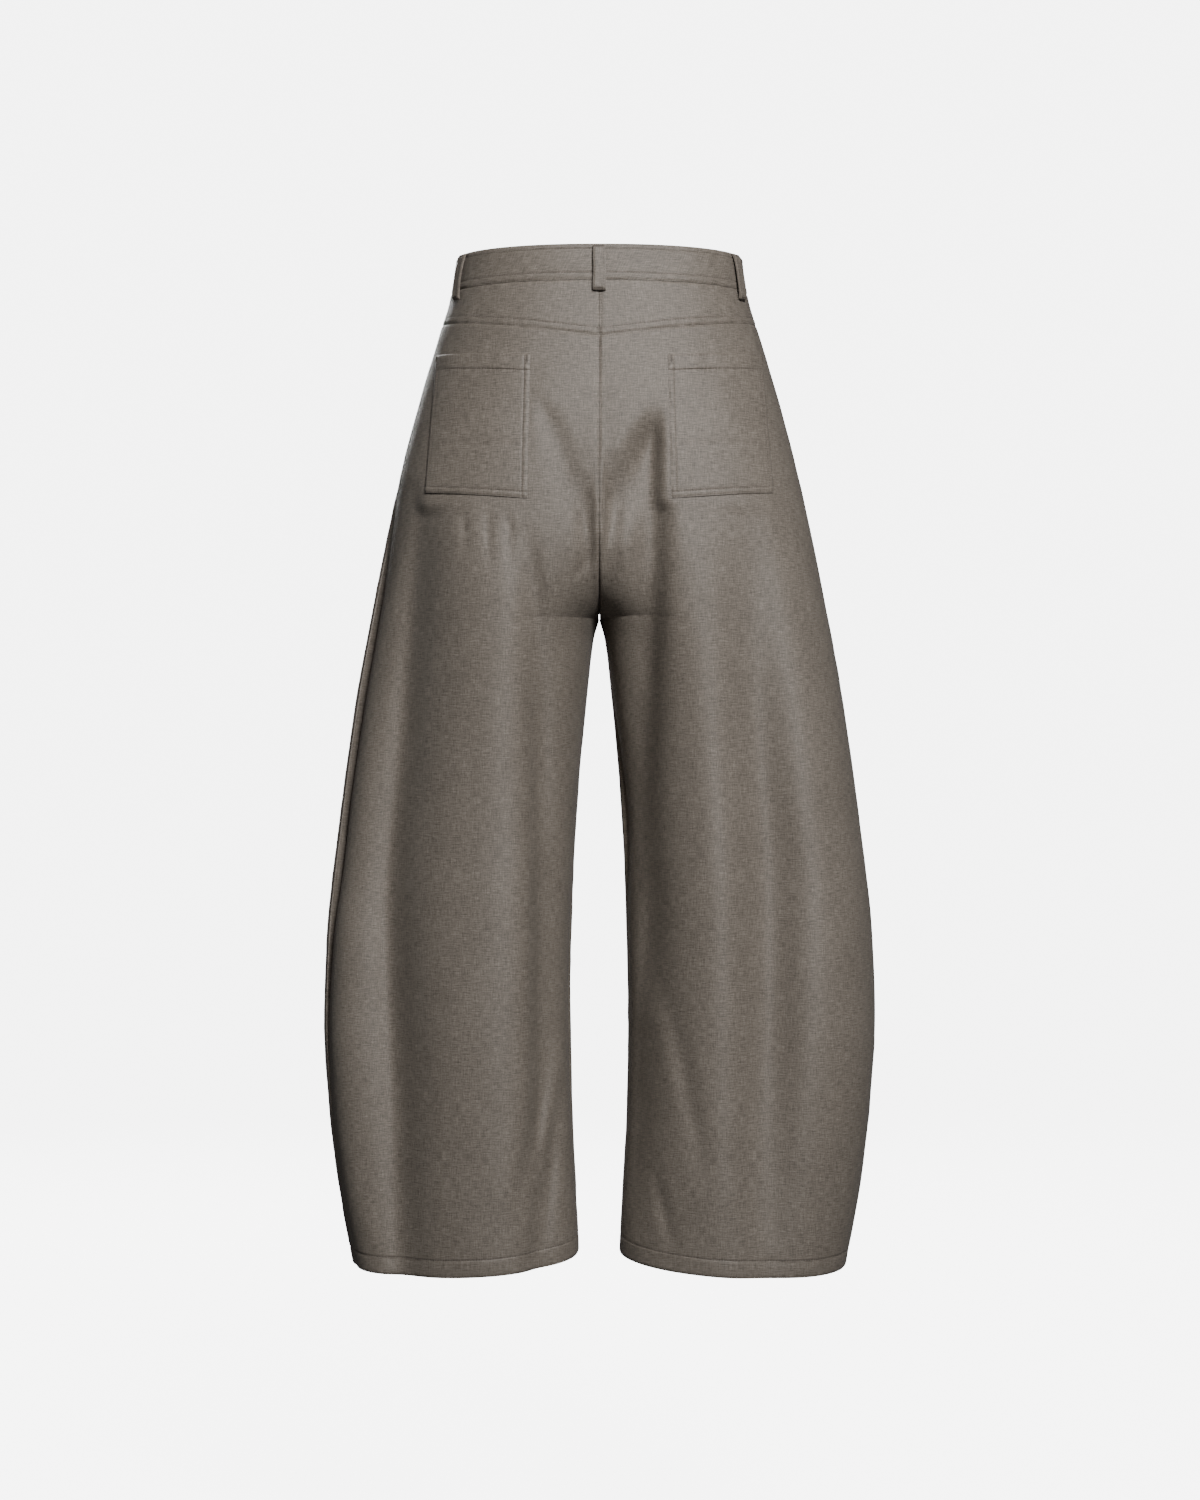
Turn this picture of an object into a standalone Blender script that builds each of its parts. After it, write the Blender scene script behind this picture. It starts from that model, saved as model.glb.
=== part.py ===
"""Barrel leg trousers, filled out as if worn, with no wearer.

Metres, +Z up. The front faces -Y and the back faces +Y. The origin is the centre of the waistband's
ring, at half its height, where a wearer's waist holds the garment. Every piece that a maker cuts and
sews is an object of its own, and neighbouring pieces stand one seam gap apart. All the cloth lies on
one smooth surface, which cloth_points() works out from the tables of sections, gaps and folds.
"""

import math

import bmesh
import bpy
import numpy as np

LEFT, RIGHT = 1, -1
BACK, FRONT = 1, -1

# Cloth
CLOTH = 0.0014
SEAM = 0.0003
ROUNDNESS = 0.93
HEM_TURN = 0.020
HEM_STEP = 0.001

# Heights of the seams, from the middle of the waistband
BAND_TOP = 0.018
BAND_SEAM = -0.0175
YOKE_SIDE = -0.049
YOKE_CENTRE = -0.069
BACK_RISE_START = -0.200
FRONT_RISE_START = -0.232
CROTCH = -0.342
HEM_OUTER = -0.985
HEM_INNER = -0.972
RISE_SHAPE = 1.5
SMALLEST_PARTING = 1e-4
INNER_CURVE = 0.57

# How far the waist line and the hem leave a level plane at the middle of each face
WAIST_LIFT = {BACK: 0.003, FRONT: -0.005}
HEM_DROP = {BACK: 0.011, FRONT: -0.003}

# The oval centre is where each half of the body is deepest, as a distance from the centre line
SECTION_COLUMNS = ("height", "half_width", "oval_centre", "back_depth", "front_depth")
SECTIONS = (
    (0.024, 0.1415, 0.004, 0.099, 0.097),
    (-0.018, 0.1480, 0.004, 0.103, 0.100),
    (-0.062, 0.1610, 0.004, 0.109, 0.105),
    (-0.122, 0.1790, 0.008, 0.118, 0.109),
    (-0.182, 0.1950, 0.022, 0.123, 0.112),
    (-0.262, 0.2130, 0.064, 0.121, 0.113),
    (-0.342, 0.2290, 0.101, 0.115, 0.111),
    (-0.422, 0.2435, 0.123, 0.109, 0.109),
    (-0.542, 0.2600, 0.140, 0.104, 0.106),
    (-0.662, 0.2730, 0.149, 0.101, 0.103),
    (-0.742, 0.2755, 0.152, 0.098, 0.099),
    (-0.822, 0.2710, 0.149, 0.093, 0.094),
    (-0.902, 0.2615, 0.142, 0.086, 0.087),
    (-0.990, 0.2455, 0.132, 0.077, 0.078),
)

# Half the space between the legs, below the crotch
GAP_COLUMNS = ("height", "half_gap")
GAPS = (
    (-0.342, 0.00015),
    (-0.362, 0.0055),
    (-0.422, 0.0125),
    (-0.522, 0.0215),
    (-0.622, 0.0265),
    (-0.722, 0.0285),
    (-0.822, 0.0270),
    (-0.922, 0.0225),
    (-0.990, 0.0190),
)

# The largest folds: troughs have a positive depth, ridges a negative one. The three places across
# are distances from the centre line, at the fold's top, middle and bottom. The taper says how soon a
# fold reaches its full depth below its top.
FOLD_TAPER = 0.8
FOLD_COLUMNS = (
    "side", "face", "top", "bottom", "across_top", "across_middle", "across_bottom", "half_width", "depth",
)
FOLDS = (
    (LEFT, BACK, -0.215, -0.960, 0.160, 0.192, 0.183, 0.024, 0.0130),
    (LEFT, BACK, -0.330, -0.955, 0.066, 0.048, 0.060, 0.013, 0.0060),
    (RIGHT, BACK, -0.130, -0.560, 0.048, 0.056, 0.040, 0.014, 0.0100),
    (RIGHT, BACK, -0.400, -0.950, 0.046, 0.058, 0.062, 0.018, 0.0080),
    (RIGHT, BACK, -0.260, -0.940, 0.182, 0.194, 0.176, 0.022, 0.0090),
    (LEFT, FRONT, -0.240, -0.950, 0.165, 0.190, 0.180, 0.024, 0.0110),
    (LEFT, FRONT, -0.360, -0.940, 0.062, 0.056, 0.064, 0.014, 0.0060),
    (RIGHT, FRONT, -0.230, -0.955, 0.162, 0.194, 0.178, 0.024, 0.0105),
    (RIGHT, FRONT, -0.350, -0.930, 0.070, 0.054, 0.060, 0.014, 0.0065),
)

# Grid of each panel
LEG_COLUMNS = 19
LEG_ROWS = 9
LEG_ROWS_FROM = -0.925
LEG_ROWS_TO = -0.385
THIGH_ROW = -0.362
RISE_ROWS = 7
HIP_ROW_STEP = 0.045
YOKE_COLUMNS = 14
YOKE_ROWS = 3

# Waistband: the right end laps over the left one at the centre front
BAND_CLOTH = 0.0026
BAND_PROUD = 0.0006
BAND_COLUMNS = 68
LAP_OVER = 0.014
LAP_UNDER = 0.030
LAP_EASE = 0.018

# Back patch pockets: corners as distances from the centre line and heights. The step from the hem's
# double cloth to single cloth takes up this share of the pocket's length.
POCKET_INNER = (0.0665, 0.0695)
POCKET_OUTER = (0.1600, 0.1700)
POCKET_TOP = (-0.0880, -0.0820)
POCKET_BOTTOM = (-0.2285, -0.2205)
POCKET_LIFT = 0.0008
POCKET_CALM = 0.016
POCKET_CLOTH = 0.0012
POCKET_HEM_CLOTH = 0.0018
POCKET_HEM = 0.016
POCKET_HEM_STEP = 0.01
POCKET_COLUMNS = 9
POCKET_ROWS = 10

# Belt loops: where each stands round the waist, in degrees from the centre back
LOOP_PLACES = {
    "belt_loop_centre_back": 0.0,
    "belt_loop_back_left": 68.0,
    "belt_loop_back_right": -68.0,
    "belt_loop_front_left": 142.0,
    "belt_loop_front_right": -142.0,
}
LOOP_WIDTH = 0.012
LOOP_CLOTH = 0.0016
LOOP_TOP = 0.0165
LOOP_BOTTOM = -0.0285
LOOP_STAND = 0.0036
LOOP_SQUARENESS = 0.55
LOOP_ROWS = 11
LOOP_COLUMNS = 3

# Fly closure
ZIP_TOP = BAND_SEAM + WAIST_LIFT[FRONT] - SEAM
ZIP_BOTTOM = -0.165
ZIP_WIDTH = 0.026
ZIP_CLOTH = 0.0011
ZIP_ROWS = 9
ZIP_HALF_COLUMNS = 3
ZIP_LIFT = -CLOTH - 2 * SEAM
SLIDER_SIZE = (0.0065, 0.0022, 0.0105)
SLIDER_HEIGHT = -0.034
SLIDER_BEVEL = 0.0006
BUTTON_RADIUS = 0.0085
BUTTON_THICKNESS = 0.0030
BUTTON_BEVEL = 0.0007
BUTTON_STAND = 0.0006
BUTTON_SEGMENTS = 20
BUTTON_HOLE_RADIUS = 0.0010
BUTTON_HOLE_SPREAD = 0.0019
BUTTON_HOLE_SEGMENTS = 8
DRILL_LENGTH = 3 * BUTTON_THICKNESS
BEVEL_SEGMENTS = 2

CLOTH_COLOUR = (0x8A, 0x80, 0x78)
CLOTH_ROUGHNESS = 0.72
BUTTON_COLOUR = (0x5A, 0x50, 0x48)
BUTTON_ROUGHNESS = 0.38
ZIP_COLOUR = (0x70, 0x67, 0x5F)
ZIP_ROUGHNESS = 0.85
METAL_COLOUR = (0x9A, 0x96, 0x90)
METAL_ROUGHNESS = 0.35
SHARP_EDGE = math.radians(42)

# Small steps for working out normals, how closely a place is sought by halving, and heights taken as one
TINY_TURN = 1e-4
TINY_HEIGHT = 1e-5
HALVINGS = 30
SAME_HEIGHT = 1e-6


def clear_scene():
    for item in list(bpy.data.objects):
        bpy.data.objects.remove(item, do_unlink=True)


def linear(channel):
    value = channel / 255
    return value / 12.92 if value <= 0.04045 else ((value + 0.055) / 1.055) ** 2.4


def make_material(name, colour, roughness, metallic=0.0):
    material = bpy.data.materials.new(name)
    material.use_nodes = True
    shader = material.node_tree.nodes["Principled BSDF"]
    shader.inputs["Base Color"].default_value = (*map(linear, colour), 1.0)
    shader.inputs["Roughness"].default_value = roughness
    shader.inputs["Metallic"].default_value = metallic
    return material


def curve_through(heights, values):
    """A smooth curve through the values, with no overshoot between them. Heights run downwards."""
    at = np.array(heights[::-1])
    level = np.array(values[::-1])
    steps = np.diff(at)
    rises = np.diff(level) / steps
    slopes = np.concatenate([rises[:1], np.zeros(len(at) - 2), rises[-1:]])
    same_way = rises[:-1] * rises[1:] > 0
    before, after = rises[:-1][same_way], rises[1:][same_way]
    slopes[1:-1][same_way] = 2 * before * after / (before + after)

    def value_at(height):
        i = np.clip(np.searchsorted(at, height) - 1, 0, len(steps) - 1)
        t = (height - at[i]) / steps[i]
        bend = (2 * t + 1) * (1 - t) ** 2 * level[i] + (3 - 2 * t) * t**2 * level[i + 1]
        lean = t * (1 - t) ** 2 * slopes[i] - (1 - t) * t**2 * slopes[i + 1]
        return bend + lean * steps[i]

    return value_at


def table_curve(rows, columns, name):
    place = columns.index(name)
    return curve_through([row[0] for row in rows], [row[place] for row in rows])


half_width_at = table_curve(SECTIONS, SECTION_COLUMNS, "half_width")
oval_centre_at = table_curve(SECTIONS, SECTION_COLUMNS, "oval_centre")
half_gap_at = table_curve(GAPS, GAP_COLUMNS, "half_gap")
depth_at = {
    BACK: table_curve(SECTIONS, SECTION_COLUMNS, "back_depth"),
    FRONT: table_curve(SECTIONS, SECTION_COLUMNS, "front_depth"),
}
RISE_START = {BACK: BACK_RISE_START, FRONT: FRONT_RISE_START}


def rounded(value):
    return np.sign(value) * np.abs(value) ** ROUNDNESS


def plain_surface(face, turn, height):
    """The cloth before its folds, on the left side of the body.

    Turn runs from 0 at the side seam to 1 at the inner end: the centre seam down to the crotch, and
    the inseam below it. A section is a quarter of an oval from the side to where it is deepest, and
    then a part of another to the inner end. Its parting is 0 at the hips, where that part is flat
    and meets the other leg's, and 1 from the crotch down, where it is a whole quarter round the leg.
    """
    centre = oval_centre_at(height)
    depth = depth_at[face](height)
    inner = np.where(height >= CROTCH, SEAM / 2, half_gap_at(np.minimum(height, CROTCH)))
    start = RISE_START[face]
    parting = np.clip((start - height) / (start - CROTCH), SMALLEST_PARTING, 1) ** RISE_SHAPE
    end_angle = np.arcsin(parting ** (1 / ROUNDNESS))
    outer_length = math.pi / 2 * np.sqrt(((half_width_at(height) - centre) ** 2 + depth**2) / 2)
    inner_length = centre - inner + INNER_CURVE * depth * (1 - np.cos(end_angle))
    outer_share = outer_length / (outer_length + np.maximum(inner_length, 0))
    quarter = turn / outer_share * math.pi / 2
    rest = np.maximum(turn - outer_share, 0) / np.maximum(1 - outer_share, TINY_TURN) * end_angle
    on_outer = quarter <= math.pi / 2
    reach = rounded(np.sin(rest)) / rounded(np.sin(end_angle))
    x_outer = centre + (half_width_at(height) - centre) * rounded(np.cos(quarter))
    x = np.where(on_outer, x_outer, centre - (centre - inner) * reach)
    y = face * depth * np.where(on_outer, rounded(np.sin(quarter)), rounded(np.cos(rest)))
    return np.stack([x, y, height + 0 * x], axis=-1)


def normals_of(surface, face, turn, height):
    along = surface(turn + TINY_TURN, height) - surface(turn - TINY_TURN, height)
    up = surface(turn, height + TINY_HEIGHT) - surface(turn, height - TINY_HEIGHT)
    normal = np.cross(along, up) * face
    return normal / np.linalg.norm(normal, axis=-1, keepdims=True)


def fold_depth(side, face, across, height):
    depth = np.zeros_like(across)
    for row in FOLDS:
        fold = dict(zip(FOLD_COLUMNS, row))
        if (fold["side"], fold["face"]) != (side, face):
            continue
        t = np.clip((fold["top"] - height) / (fold["top"] - fold["bottom"]), 0, 1)
        middle = 4 * t * (1 - t)
        path = (
            fold["across_top"] * (1 - t) * (1 - 2 * t)
            + fold["across_middle"] * middle
            + fold["across_bottom"] * t * (2 * t - 1)
        )
        strength = np.sin(np.pi * t) ** FOLD_TAPER
        depth += fold["depth"] * strength * np.exp(-(((across - path) / fold["half_width"]) ** 2))
    return depth


def calm_round_pocket(across, height):
    """0 under a back pocket, where the cloth lies smooth, rising to 1 a little way outside it."""
    beside = np.maximum(POCKET_INNER[0] - across, across - POCKET_OUTER[1])
    above = np.maximum(POCKET_BOTTOM[0] - height, height - POCKET_TOP[1])
    away = np.hypot(np.maximum(beside, 0), np.maximum(above, 0))
    t = np.clip(away / POCKET_CALM, 0, 1)
    return t * t * (3 - 2 * t)


def folded_surface(side, face, turn, height):
    def plain(turns, heights):
        return plain_surface(face, turns, heights)

    points = plain(turn, height)
    depth = fold_depth(side, face, points[..., 0], height)
    if face == BACK:
        depth = depth * calm_round_pocket(points[..., 0], height)
    return points - normals_of(plain, face, turn, height) * depth[..., None]


def cloth_points(side, face, turn, height, lift):
    """Points on the cloth, lifted outwards along its normal, with the side seam's gap kept."""
    def folded(turns, heights):
        return folded_surface(side, face, turns, heights)

    points = folded(turn, height) + normals_of(folded, face, turn, height) * lift
    points[..., 1] = face * np.maximum(face * points[..., 1], SEAM / 2)
    points[..., 0] = side * np.maximum(points[..., 0], SEAM / 2)
    return points


def turn_at(face, across, height):
    """The turn at which the cloth is this far from the centre line, above the crotch or on a leg's back."""
    low = np.zeros(np.broadcast(across, height).shape)
    high = np.ones_like(low)
    for _ in range(HALVINGS):
        middle = (low + high) / 2
        outside = plain_surface(face, middle, height + 0 * middle)[..., 0] > across
        low = np.where(outside, middle, low)
        high = np.where(outside, high, middle)
    return (low + high) / 2


def waist_lift(face, turn):
    return WAIST_LIFT[face] * np.sin(turn * math.pi / 2)


def yoke_height(turn):
    across = plain_surface(BACK, turn, YOKE_SIDE + 0 * turn)[..., 0]
    share = across / half_width_at(np.array(YOKE_SIDE))
    return YOKE_CENTRE + (YOKE_SIDE - YOKE_CENTRE) * share


def hem_height(face, turn):
    points = plain_surface(face, turn, HEM_OUTER + 0 * turn)
    inner, outer = half_gap_at(np.array(HEM_OUTER)), half_width_at(np.array(HEM_OUTER))
    share = (points[..., 0] - inner) / (outer - inner)
    return HEM_INNER + (HEM_OUTER - HEM_INNER) * share - HEM_DROP[face] * np.sin(turn * math.pi)


def leg_row_heights(face, top):
    """Level heights of a leg panel's rows, from the hem up, closer together where the seat curves under."""
    hem = [HEM_OUTER, HEM_OUTER + HEM_TURN, HEM_OUTER + HEM_TURN + HEM_STEP]
    leg = list(np.linspace(LEG_ROWS_FROM, LEG_ROWS_TO, LEG_ROWS)) + [THIGH_ROW]
    start = RISE_START[face]
    forward = np.sin(np.linspace(0, math.pi / 2, RISE_ROWS + 1))
    rise = start - (start - CROTCH) * (1 - forward**2) ** (1 / (2 * RISE_SHAPE))
    hip = np.linspace(start, top, 1 + math.ceil((top - start) / HIP_ROW_STEP))[1:]
    return np.array(hem + leg + list(rise) + list(hip))


def shell(name, outer, inner, material):
    """A closed wall between two grids of points of the same size, each [row, column]."""
    rows, columns = outer.shape[:2]
    mesh = bpy.data.meshes.new(name)
    net = bmesh.new()
    sheets = [[[net.verts.new(point) for point in row] for row in grid] for grid in (outer, inner)]
    for sheet in sheets:
        for i in range(rows - 1):
            for j in range(columns - 1):
                net.faces.new((sheet[i][j], sheet[i][j + 1], sheet[i + 1][j + 1]))
                net.faces.new((sheet[i][j], sheet[i + 1][j + 1], sheet[i + 1][j]))
    round_edge = (
        [(0, j) for j in range(columns)]
        + [(i, columns - 1) for i in range(1, rows)]
        + [(rows - 1, j) for j in range(columns - 2, -1, -1)]
        + [(i, 0) for i in range(rows - 2, 0, -1)]
    )
    for (i, j), (k, m) in zip(round_edge, round_edge[1:] + round_edge[:1]):
        net.faces.new((sheets[0][i][j], sheets[0][k][m], sheets[1][k][m]))
        net.faces.new((sheets[0][i][j], sheets[1][k][m], sheets[1][i][j]))
    bmesh.ops.recalc_face_normals(net, faces=net.faces)
    net.to_mesh(mesh)
    net.free()
    return place_mesh(name, mesh, material)


def place_mesh(name, mesh, material):
    mesh.shade_smooth()
    mesh.set_sharp_from_angle(angle=SHARP_EDGE)
    mesh.materials.append(material)
    piece = bpy.data.objects.new(name, mesh)
    bpy.context.scene.collection.objects.link(piece)
    return piece


def leg_panel(name, side, face, material):
    """One leg's back or front, from the hem to the yoke or the waistband, with its hem turned up inside."""
    turn = np.linspace(0, 1, LEG_COLUMNS)
    top_level = YOKE_SIDE if face == BACK else BAND_SEAM
    top = (yoke_height(turn) if face == BACK else BAND_SEAM + waist_lift(face, turn)) - SEAM / 2
    levels = leg_row_heights(face, top_level)[:, None]
    start = RISE_START[face]
    near_top = np.clip((levels - start) / (top_level - start), 0, 1) ** 2
    near_hem = np.clip((LEG_ROWS_FROM - levels) / (LEG_ROWS_FROM - HEM_OUTER), 0, 1)
    heights = levels + near_top * (top - top_level) + near_hem * (hem_height(face, turn) - HEM_OUTER)
    turns = np.broadcast_to(turn, heights.shape)
    walls = np.full((len(levels), 1), CLOTH)
    walls[levels < HEM_OUTER + HEM_TURN + HEM_STEP / 2] = 2 * CLOTH + SEAM
    outer = cloth_points(side, face, turns, heights, np.zeros((1, 1, 1)))
    inner = cloth_points(side, face, turns, heights, -walls[..., None])
    return shell(name, outer, inner, material)


def yoke(name, side, material):
    turn = np.linspace(0, 1, YOKE_COLUMNS)
    low = yoke_height(turn) + SEAM / 2
    high = BAND_SEAM + waist_lift(BACK, turn) - SEAM / 2
    share = np.linspace(0, 1, YOKE_ROWS + 1)[:, None]
    heights = low + (high - low) * share
    turns = np.broadcast_to(turn, heights.shape)
    outer = cloth_points(side, BACK, turns, heights, 0.0)
    inner = cloth_points(side, BACK, turns, heights, -CLOTH)
    return shell(name, outer, inner, material)


def waist_points(angle, height, lift):
    """Points round the waist. The angle runs from the centre front, over the left side and the back."""
    wrapped = np.mod(angle, 2 * math.pi)
    side = np.where(wrapped <= math.pi, LEFT, RIGHT)
    quarter = np.where(side == LEFT, wrapped, 2 * math.pi - wrapped)
    points = np.empty(np.broadcast(angle, height).shape + (3,))
    for one_side in (LEFT, RIGHT):
        for face in (BACK, FRONT):
            on_back = quarter > math.pi / 2
            here = (side == one_side) & (on_back == (face == BACK))
            here = np.broadcast_to(here, points.shape[:-1])
            from_side = np.abs(quarter - math.pi / 2) / (math.pi / 2)
            turns = np.broadcast_to(from_side, points.shape[:-1])[here]
            lifts = np.broadcast_to(lift, points.shape[:-1])[here][..., None]
            heights = np.broadcast_to(height, points.shape[:-1])[here] + waist_lift(face, turns)
            points[here] = centred_points(one_side, face, turns, heights, lifts)
    return points


def centred_points(side, face, turn, height, lift):
    """Points above the rise with no gap at the side and centre seams, for pieces that cross them."""
    def plain(turns, heights):
        return plain_surface(face, turns, heights)

    points = plain(turn, height) + normals_of(plain, face, turn, height) * lift
    points[..., 0] = side * (points[..., 0] - SEAM / 2)
    return points


def waist_angle(across):
    """How far from the centre front a point this far from the centre line lies, as an angle."""
    return math.asin(across / float(half_width_at(np.array(0.0))))


def waistband(material):
    start, end = -waist_angle(LAP_UNDER), 2 * math.pi + waist_angle(LAP_OVER)
    angle = np.linspace(start, end, BAND_COLUMNS)
    first, last = waist_angle(LAP_OVER), waist_angle(LAP_OVER + LAP_EASE)
    t = np.clip((angle - first) / (last - first), 0, 1)
    under = (BAND_CLOTH + 2 * SEAM) * (1 - t * t * (3 - 2 * t))
    heights = np.array([BAND_SEAM + SEAM / 2, BAND_TOP])[:, None] + 0 * angle
    outer = waist_points(angle[None, :] + 0 * heights, heights, BAND_PROUD - under[None, :])
    inner = waist_points(angle[None, :] + 0 * heights, heights, BAND_PROUD - BAND_CLOTH - under[None, :])
    return shell("waistband", outer, inner, material)


def pocket(name, side, material):
    """A plain patch pocket: its four corners blended over the back panel, moved out, its mouth hemmed."""
    s = np.linspace(0, 1, POCKET_COLUMNS)[None, :]
    hem = POCKET_HEM / (POCKET_TOP[0] - POCKET_BOTTOM[0])
    rows = np.linspace(hem, 1, POCKET_ROWS - 2)[1:]
    t = np.concatenate([[0, hem, hem + POCKET_HEM_STEP], rows])[:, None]
    inner = POCKET_INNER[0] + (POCKET_INNER[1] - POCKET_INNER[0]) * t
    outer = POCKET_OUTER[0] + (POCKET_OUTER[1] - POCKET_OUTER[0]) * t
    top = POCKET_TOP[0] + (POCKET_TOP[1] - POCKET_TOP[0]) * s
    bottom = POCKET_BOTTOM[0] + (POCKET_BOTTOM[1] - POCKET_BOTTOM[0]) * s
    across = inner + (outer - inner) * s
    heights = top + (bottom - top) * t
    turns = turn_at(BACK, across, heights)
    wall = np.where(t < hem + POCKET_HEM_STEP / 2, POCKET_HEM_CLOTH, POCKET_CLOTH)[..., None]
    low = cloth_points(side, BACK, turns, heights, POCKET_LIFT)
    high = cloth_points(side, BACK, turns, heights, POCKET_LIFT + wall)
    return shell(name, high, low, material)


def belt_loop(name, degrees, material):
    """A narrow strap sewn at its two ends, its middle standing off the band."""
    angle = math.pi - math.radians(degrees)
    t = np.linspace(0, 1, LOOP_ROWS)[:, None]
    heights = LOOP_TOP + (LOOP_BOTTOM - LOOP_TOP) * t
    reach = LOOP_WIDTH / 2 / float(half_width_at(np.array(0.0)))
    middle = waist_points(np.array([[angle - reach, angle + reach]]), np.zeros((1, 2)), 0.0)
    true_width = np.linalg.norm(middle[0, 0] - middle[0, 1])
    spread = reach * LOOP_WIDTH / true_width
    angles = angle + np.linspace(-spread, spread, LOOP_COLUMNS)[None, :]
    stand = BAND_PROUD + SEAM + LOOP_STAND * np.clip(np.sin(np.pi * t), 0, 1) ** LOOP_SQUARENESS
    angles, heights = angles + 0 * heights, heights + 0 * angles
    outer = waist_points(angles, heights, stand + LOOP_CLOTH)
    inner = waist_points(angles, heights, stand)
    return shell(name, outer, inner, material)


def fly_zip(material):
    """The tape behind the closed front edges, across the centre line."""
    heights = np.linspace(ZIP_TOP, ZIP_BOTTOM, ZIP_ROWS)[:, None]
    grids = []
    for wall in (0, ZIP_CLOTH):
        halves = []
        for side in (RIGHT, LEFT):
            across = np.linspace(ZIP_WIDTH / 2, 0, ZIP_HALF_COLUMNS)[None, :] + 0 * heights
            turns = turn_at(FRONT, across + SEAM / 2, heights)
            half = centred_points(side, FRONT, turns, heights, ZIP_LIFT - wall)
            halves.append(half if side == RIGHT else half[:, -2::-1])
        grids.append(np.concatenate(halves, axis=1))
    return shell("fly_zip", grids[0], grids[1], material)


def front_frame(height, lift):
    """A point on the centre front."""
    return waist_points(np.array([[0.0]]), np.array([[height]]), lift)[0, 0]


def zip_slider(material):
    lift = ZIP_LIFT - ZIP_CLOTH - 2 * SEAM - SLIDER_SIZE[1] / 2
    place = front_frame(SLIDER_HEIGHT, lift)
    mesh = bpy.data.meshes.new("zip_slider")
    net = bmesh.new()
    bmesh.ops.create_cube(net, size=1.0)
    bmesh.ops.scale(net, vec=SLIDER_SIZE, verts=net.verts)
    bmesh.ops.bevel(
        net, geom=net.edges[:], offset=SLIDER_BEVEL, segments=BEVEL_SEGMENTS, affect="EDGES", profile=0.5
    )
    net.to_mesh(mesh)
    net.free()
    slider = place_mesh("zip_slider", mesh, material)
    slider.location = place
    return slider


def waist_button(material):
    """A flat four-hole button on the lapped end of the band."""
    lift = BAND_PROUD + BUTTON_STAND + BUTTON_THICKNESS / 2
    below, above = front_frame(-BUTTON_RADIUS, lift), front_frame(BUTTON_RADIUS, lift)
    lean = math.atan2(above[1] - below[1], above[2] - below[2])
    mesh = bpy.data.meshes.new("waist_button")
    net = bmesh.new()
    bmesh.ops.create_cone(
        net, cap_ends=True, segments=BUTTON_SEGMENTS, depth=BUTTON_THICKNESS,
        radius1=BUTTON_RADIUS, radius2=BUTTON_RADIUS,
    )
    rim = [edge for edge in net.edges if abs(edge.verts[0].co.z - edge.verts[1].co.z) < SAME_HEIGHT]
    bmesh.ops.bevel(net, geom=rim, offset=BUTTON_BEVEL, segments=BEVEL_SEGMENTS, affect="EDGES", profile=0.5)
    net.to_mesh(mesh)
    net.free()
    button = place_mesh("waist_button", mesh, material)
    button.rotation_euler = (math.pi / 2 - lean, 0, 0)
    button.location = front_frame(0.0, lift)

    drill = bpy.data.meshes.new("button_holes")
    net = bmesh.new()
    for x in (-BUTTON_HOLE_SPREAD, BUTTON_HOLE_SPREAD):
        for y in (-BUTTON_HOLE_SPREAD, BUTTON_HOLE_SPREAD):
            made = bmesh.ops.create_cone(
                net, cap_ends=True, segments=BUTTON_HOLE_SEGMENTS, depth=DRILL_LENGTH,
                radius1=BUTTON_HOLE_RADIUS, radius2=BUTTON_HOLE_RADIUS,
            )
            bmesh.ops.translate(net, vec=(x, y, 0), verts=made["verts"])
    net.to_mesh(drill)
    net.free()
    cutter = bpy.data.objects.new("button_holes", drill)
    bpy.context.scene.collection.objects.link(cutter)
    cutter.parent = button
    cutter.hide_render = True
    cutter.display_type = "WIRE"
    holes = button.modifiers.new("Holes", "BOOLEAN")
    holes.operation = "DIFFERENCE"
    holes.object = cutter
    return button


def build():
    clear_scene()
    cloth = make_material("wool_blend_suiting", CLOTH_COLOUR, CLOTH_ROUGHNESS)
    tape = make_material("zip_tape", ZIP_COLOUR, ZIP_ROUGHNESS)
    metal = make_material("nickel_plated_brass", METAL_COLOUR, METAL_ROUGHNESS, 1.0)
    resin = make_material("polyester_resin", BUTTON_COLOUR, BUTTON_ROUGHNESS)
    for word, side in (("left", LEFT), ("right", RIGHT)):
        leg_panel(f"back_{word}", side, BACK, cloth)
        leg_panel(f"front_{word}", side, FRONT, cloth)
        yoke(f"yoke_{word}", side, cloth)
        pocket(f"back_pocket_{word}", side, cloth)
    waistband(cloth)
    for name, degrees in LOOP_PLACES.items():
        belt_loop(name, degrees, cloth)
    fly_zip(tape)
    zip_slider(metal)
    waist_button(resin)


build()
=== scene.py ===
"""Barrel leg trousers: cloth, stitching and closure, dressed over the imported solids.

Metres, +Z up. The front faces -Y, the back faces +Y, and the origin is the middle of the waistband's
ring. All the cloth follows one smooth surface, given by the tables of sections and gaps. On it lie the
folds, placed one by one, and then what sewing does to cloth: rolled edges, stitch lines and puckers.
"""

import math

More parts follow.
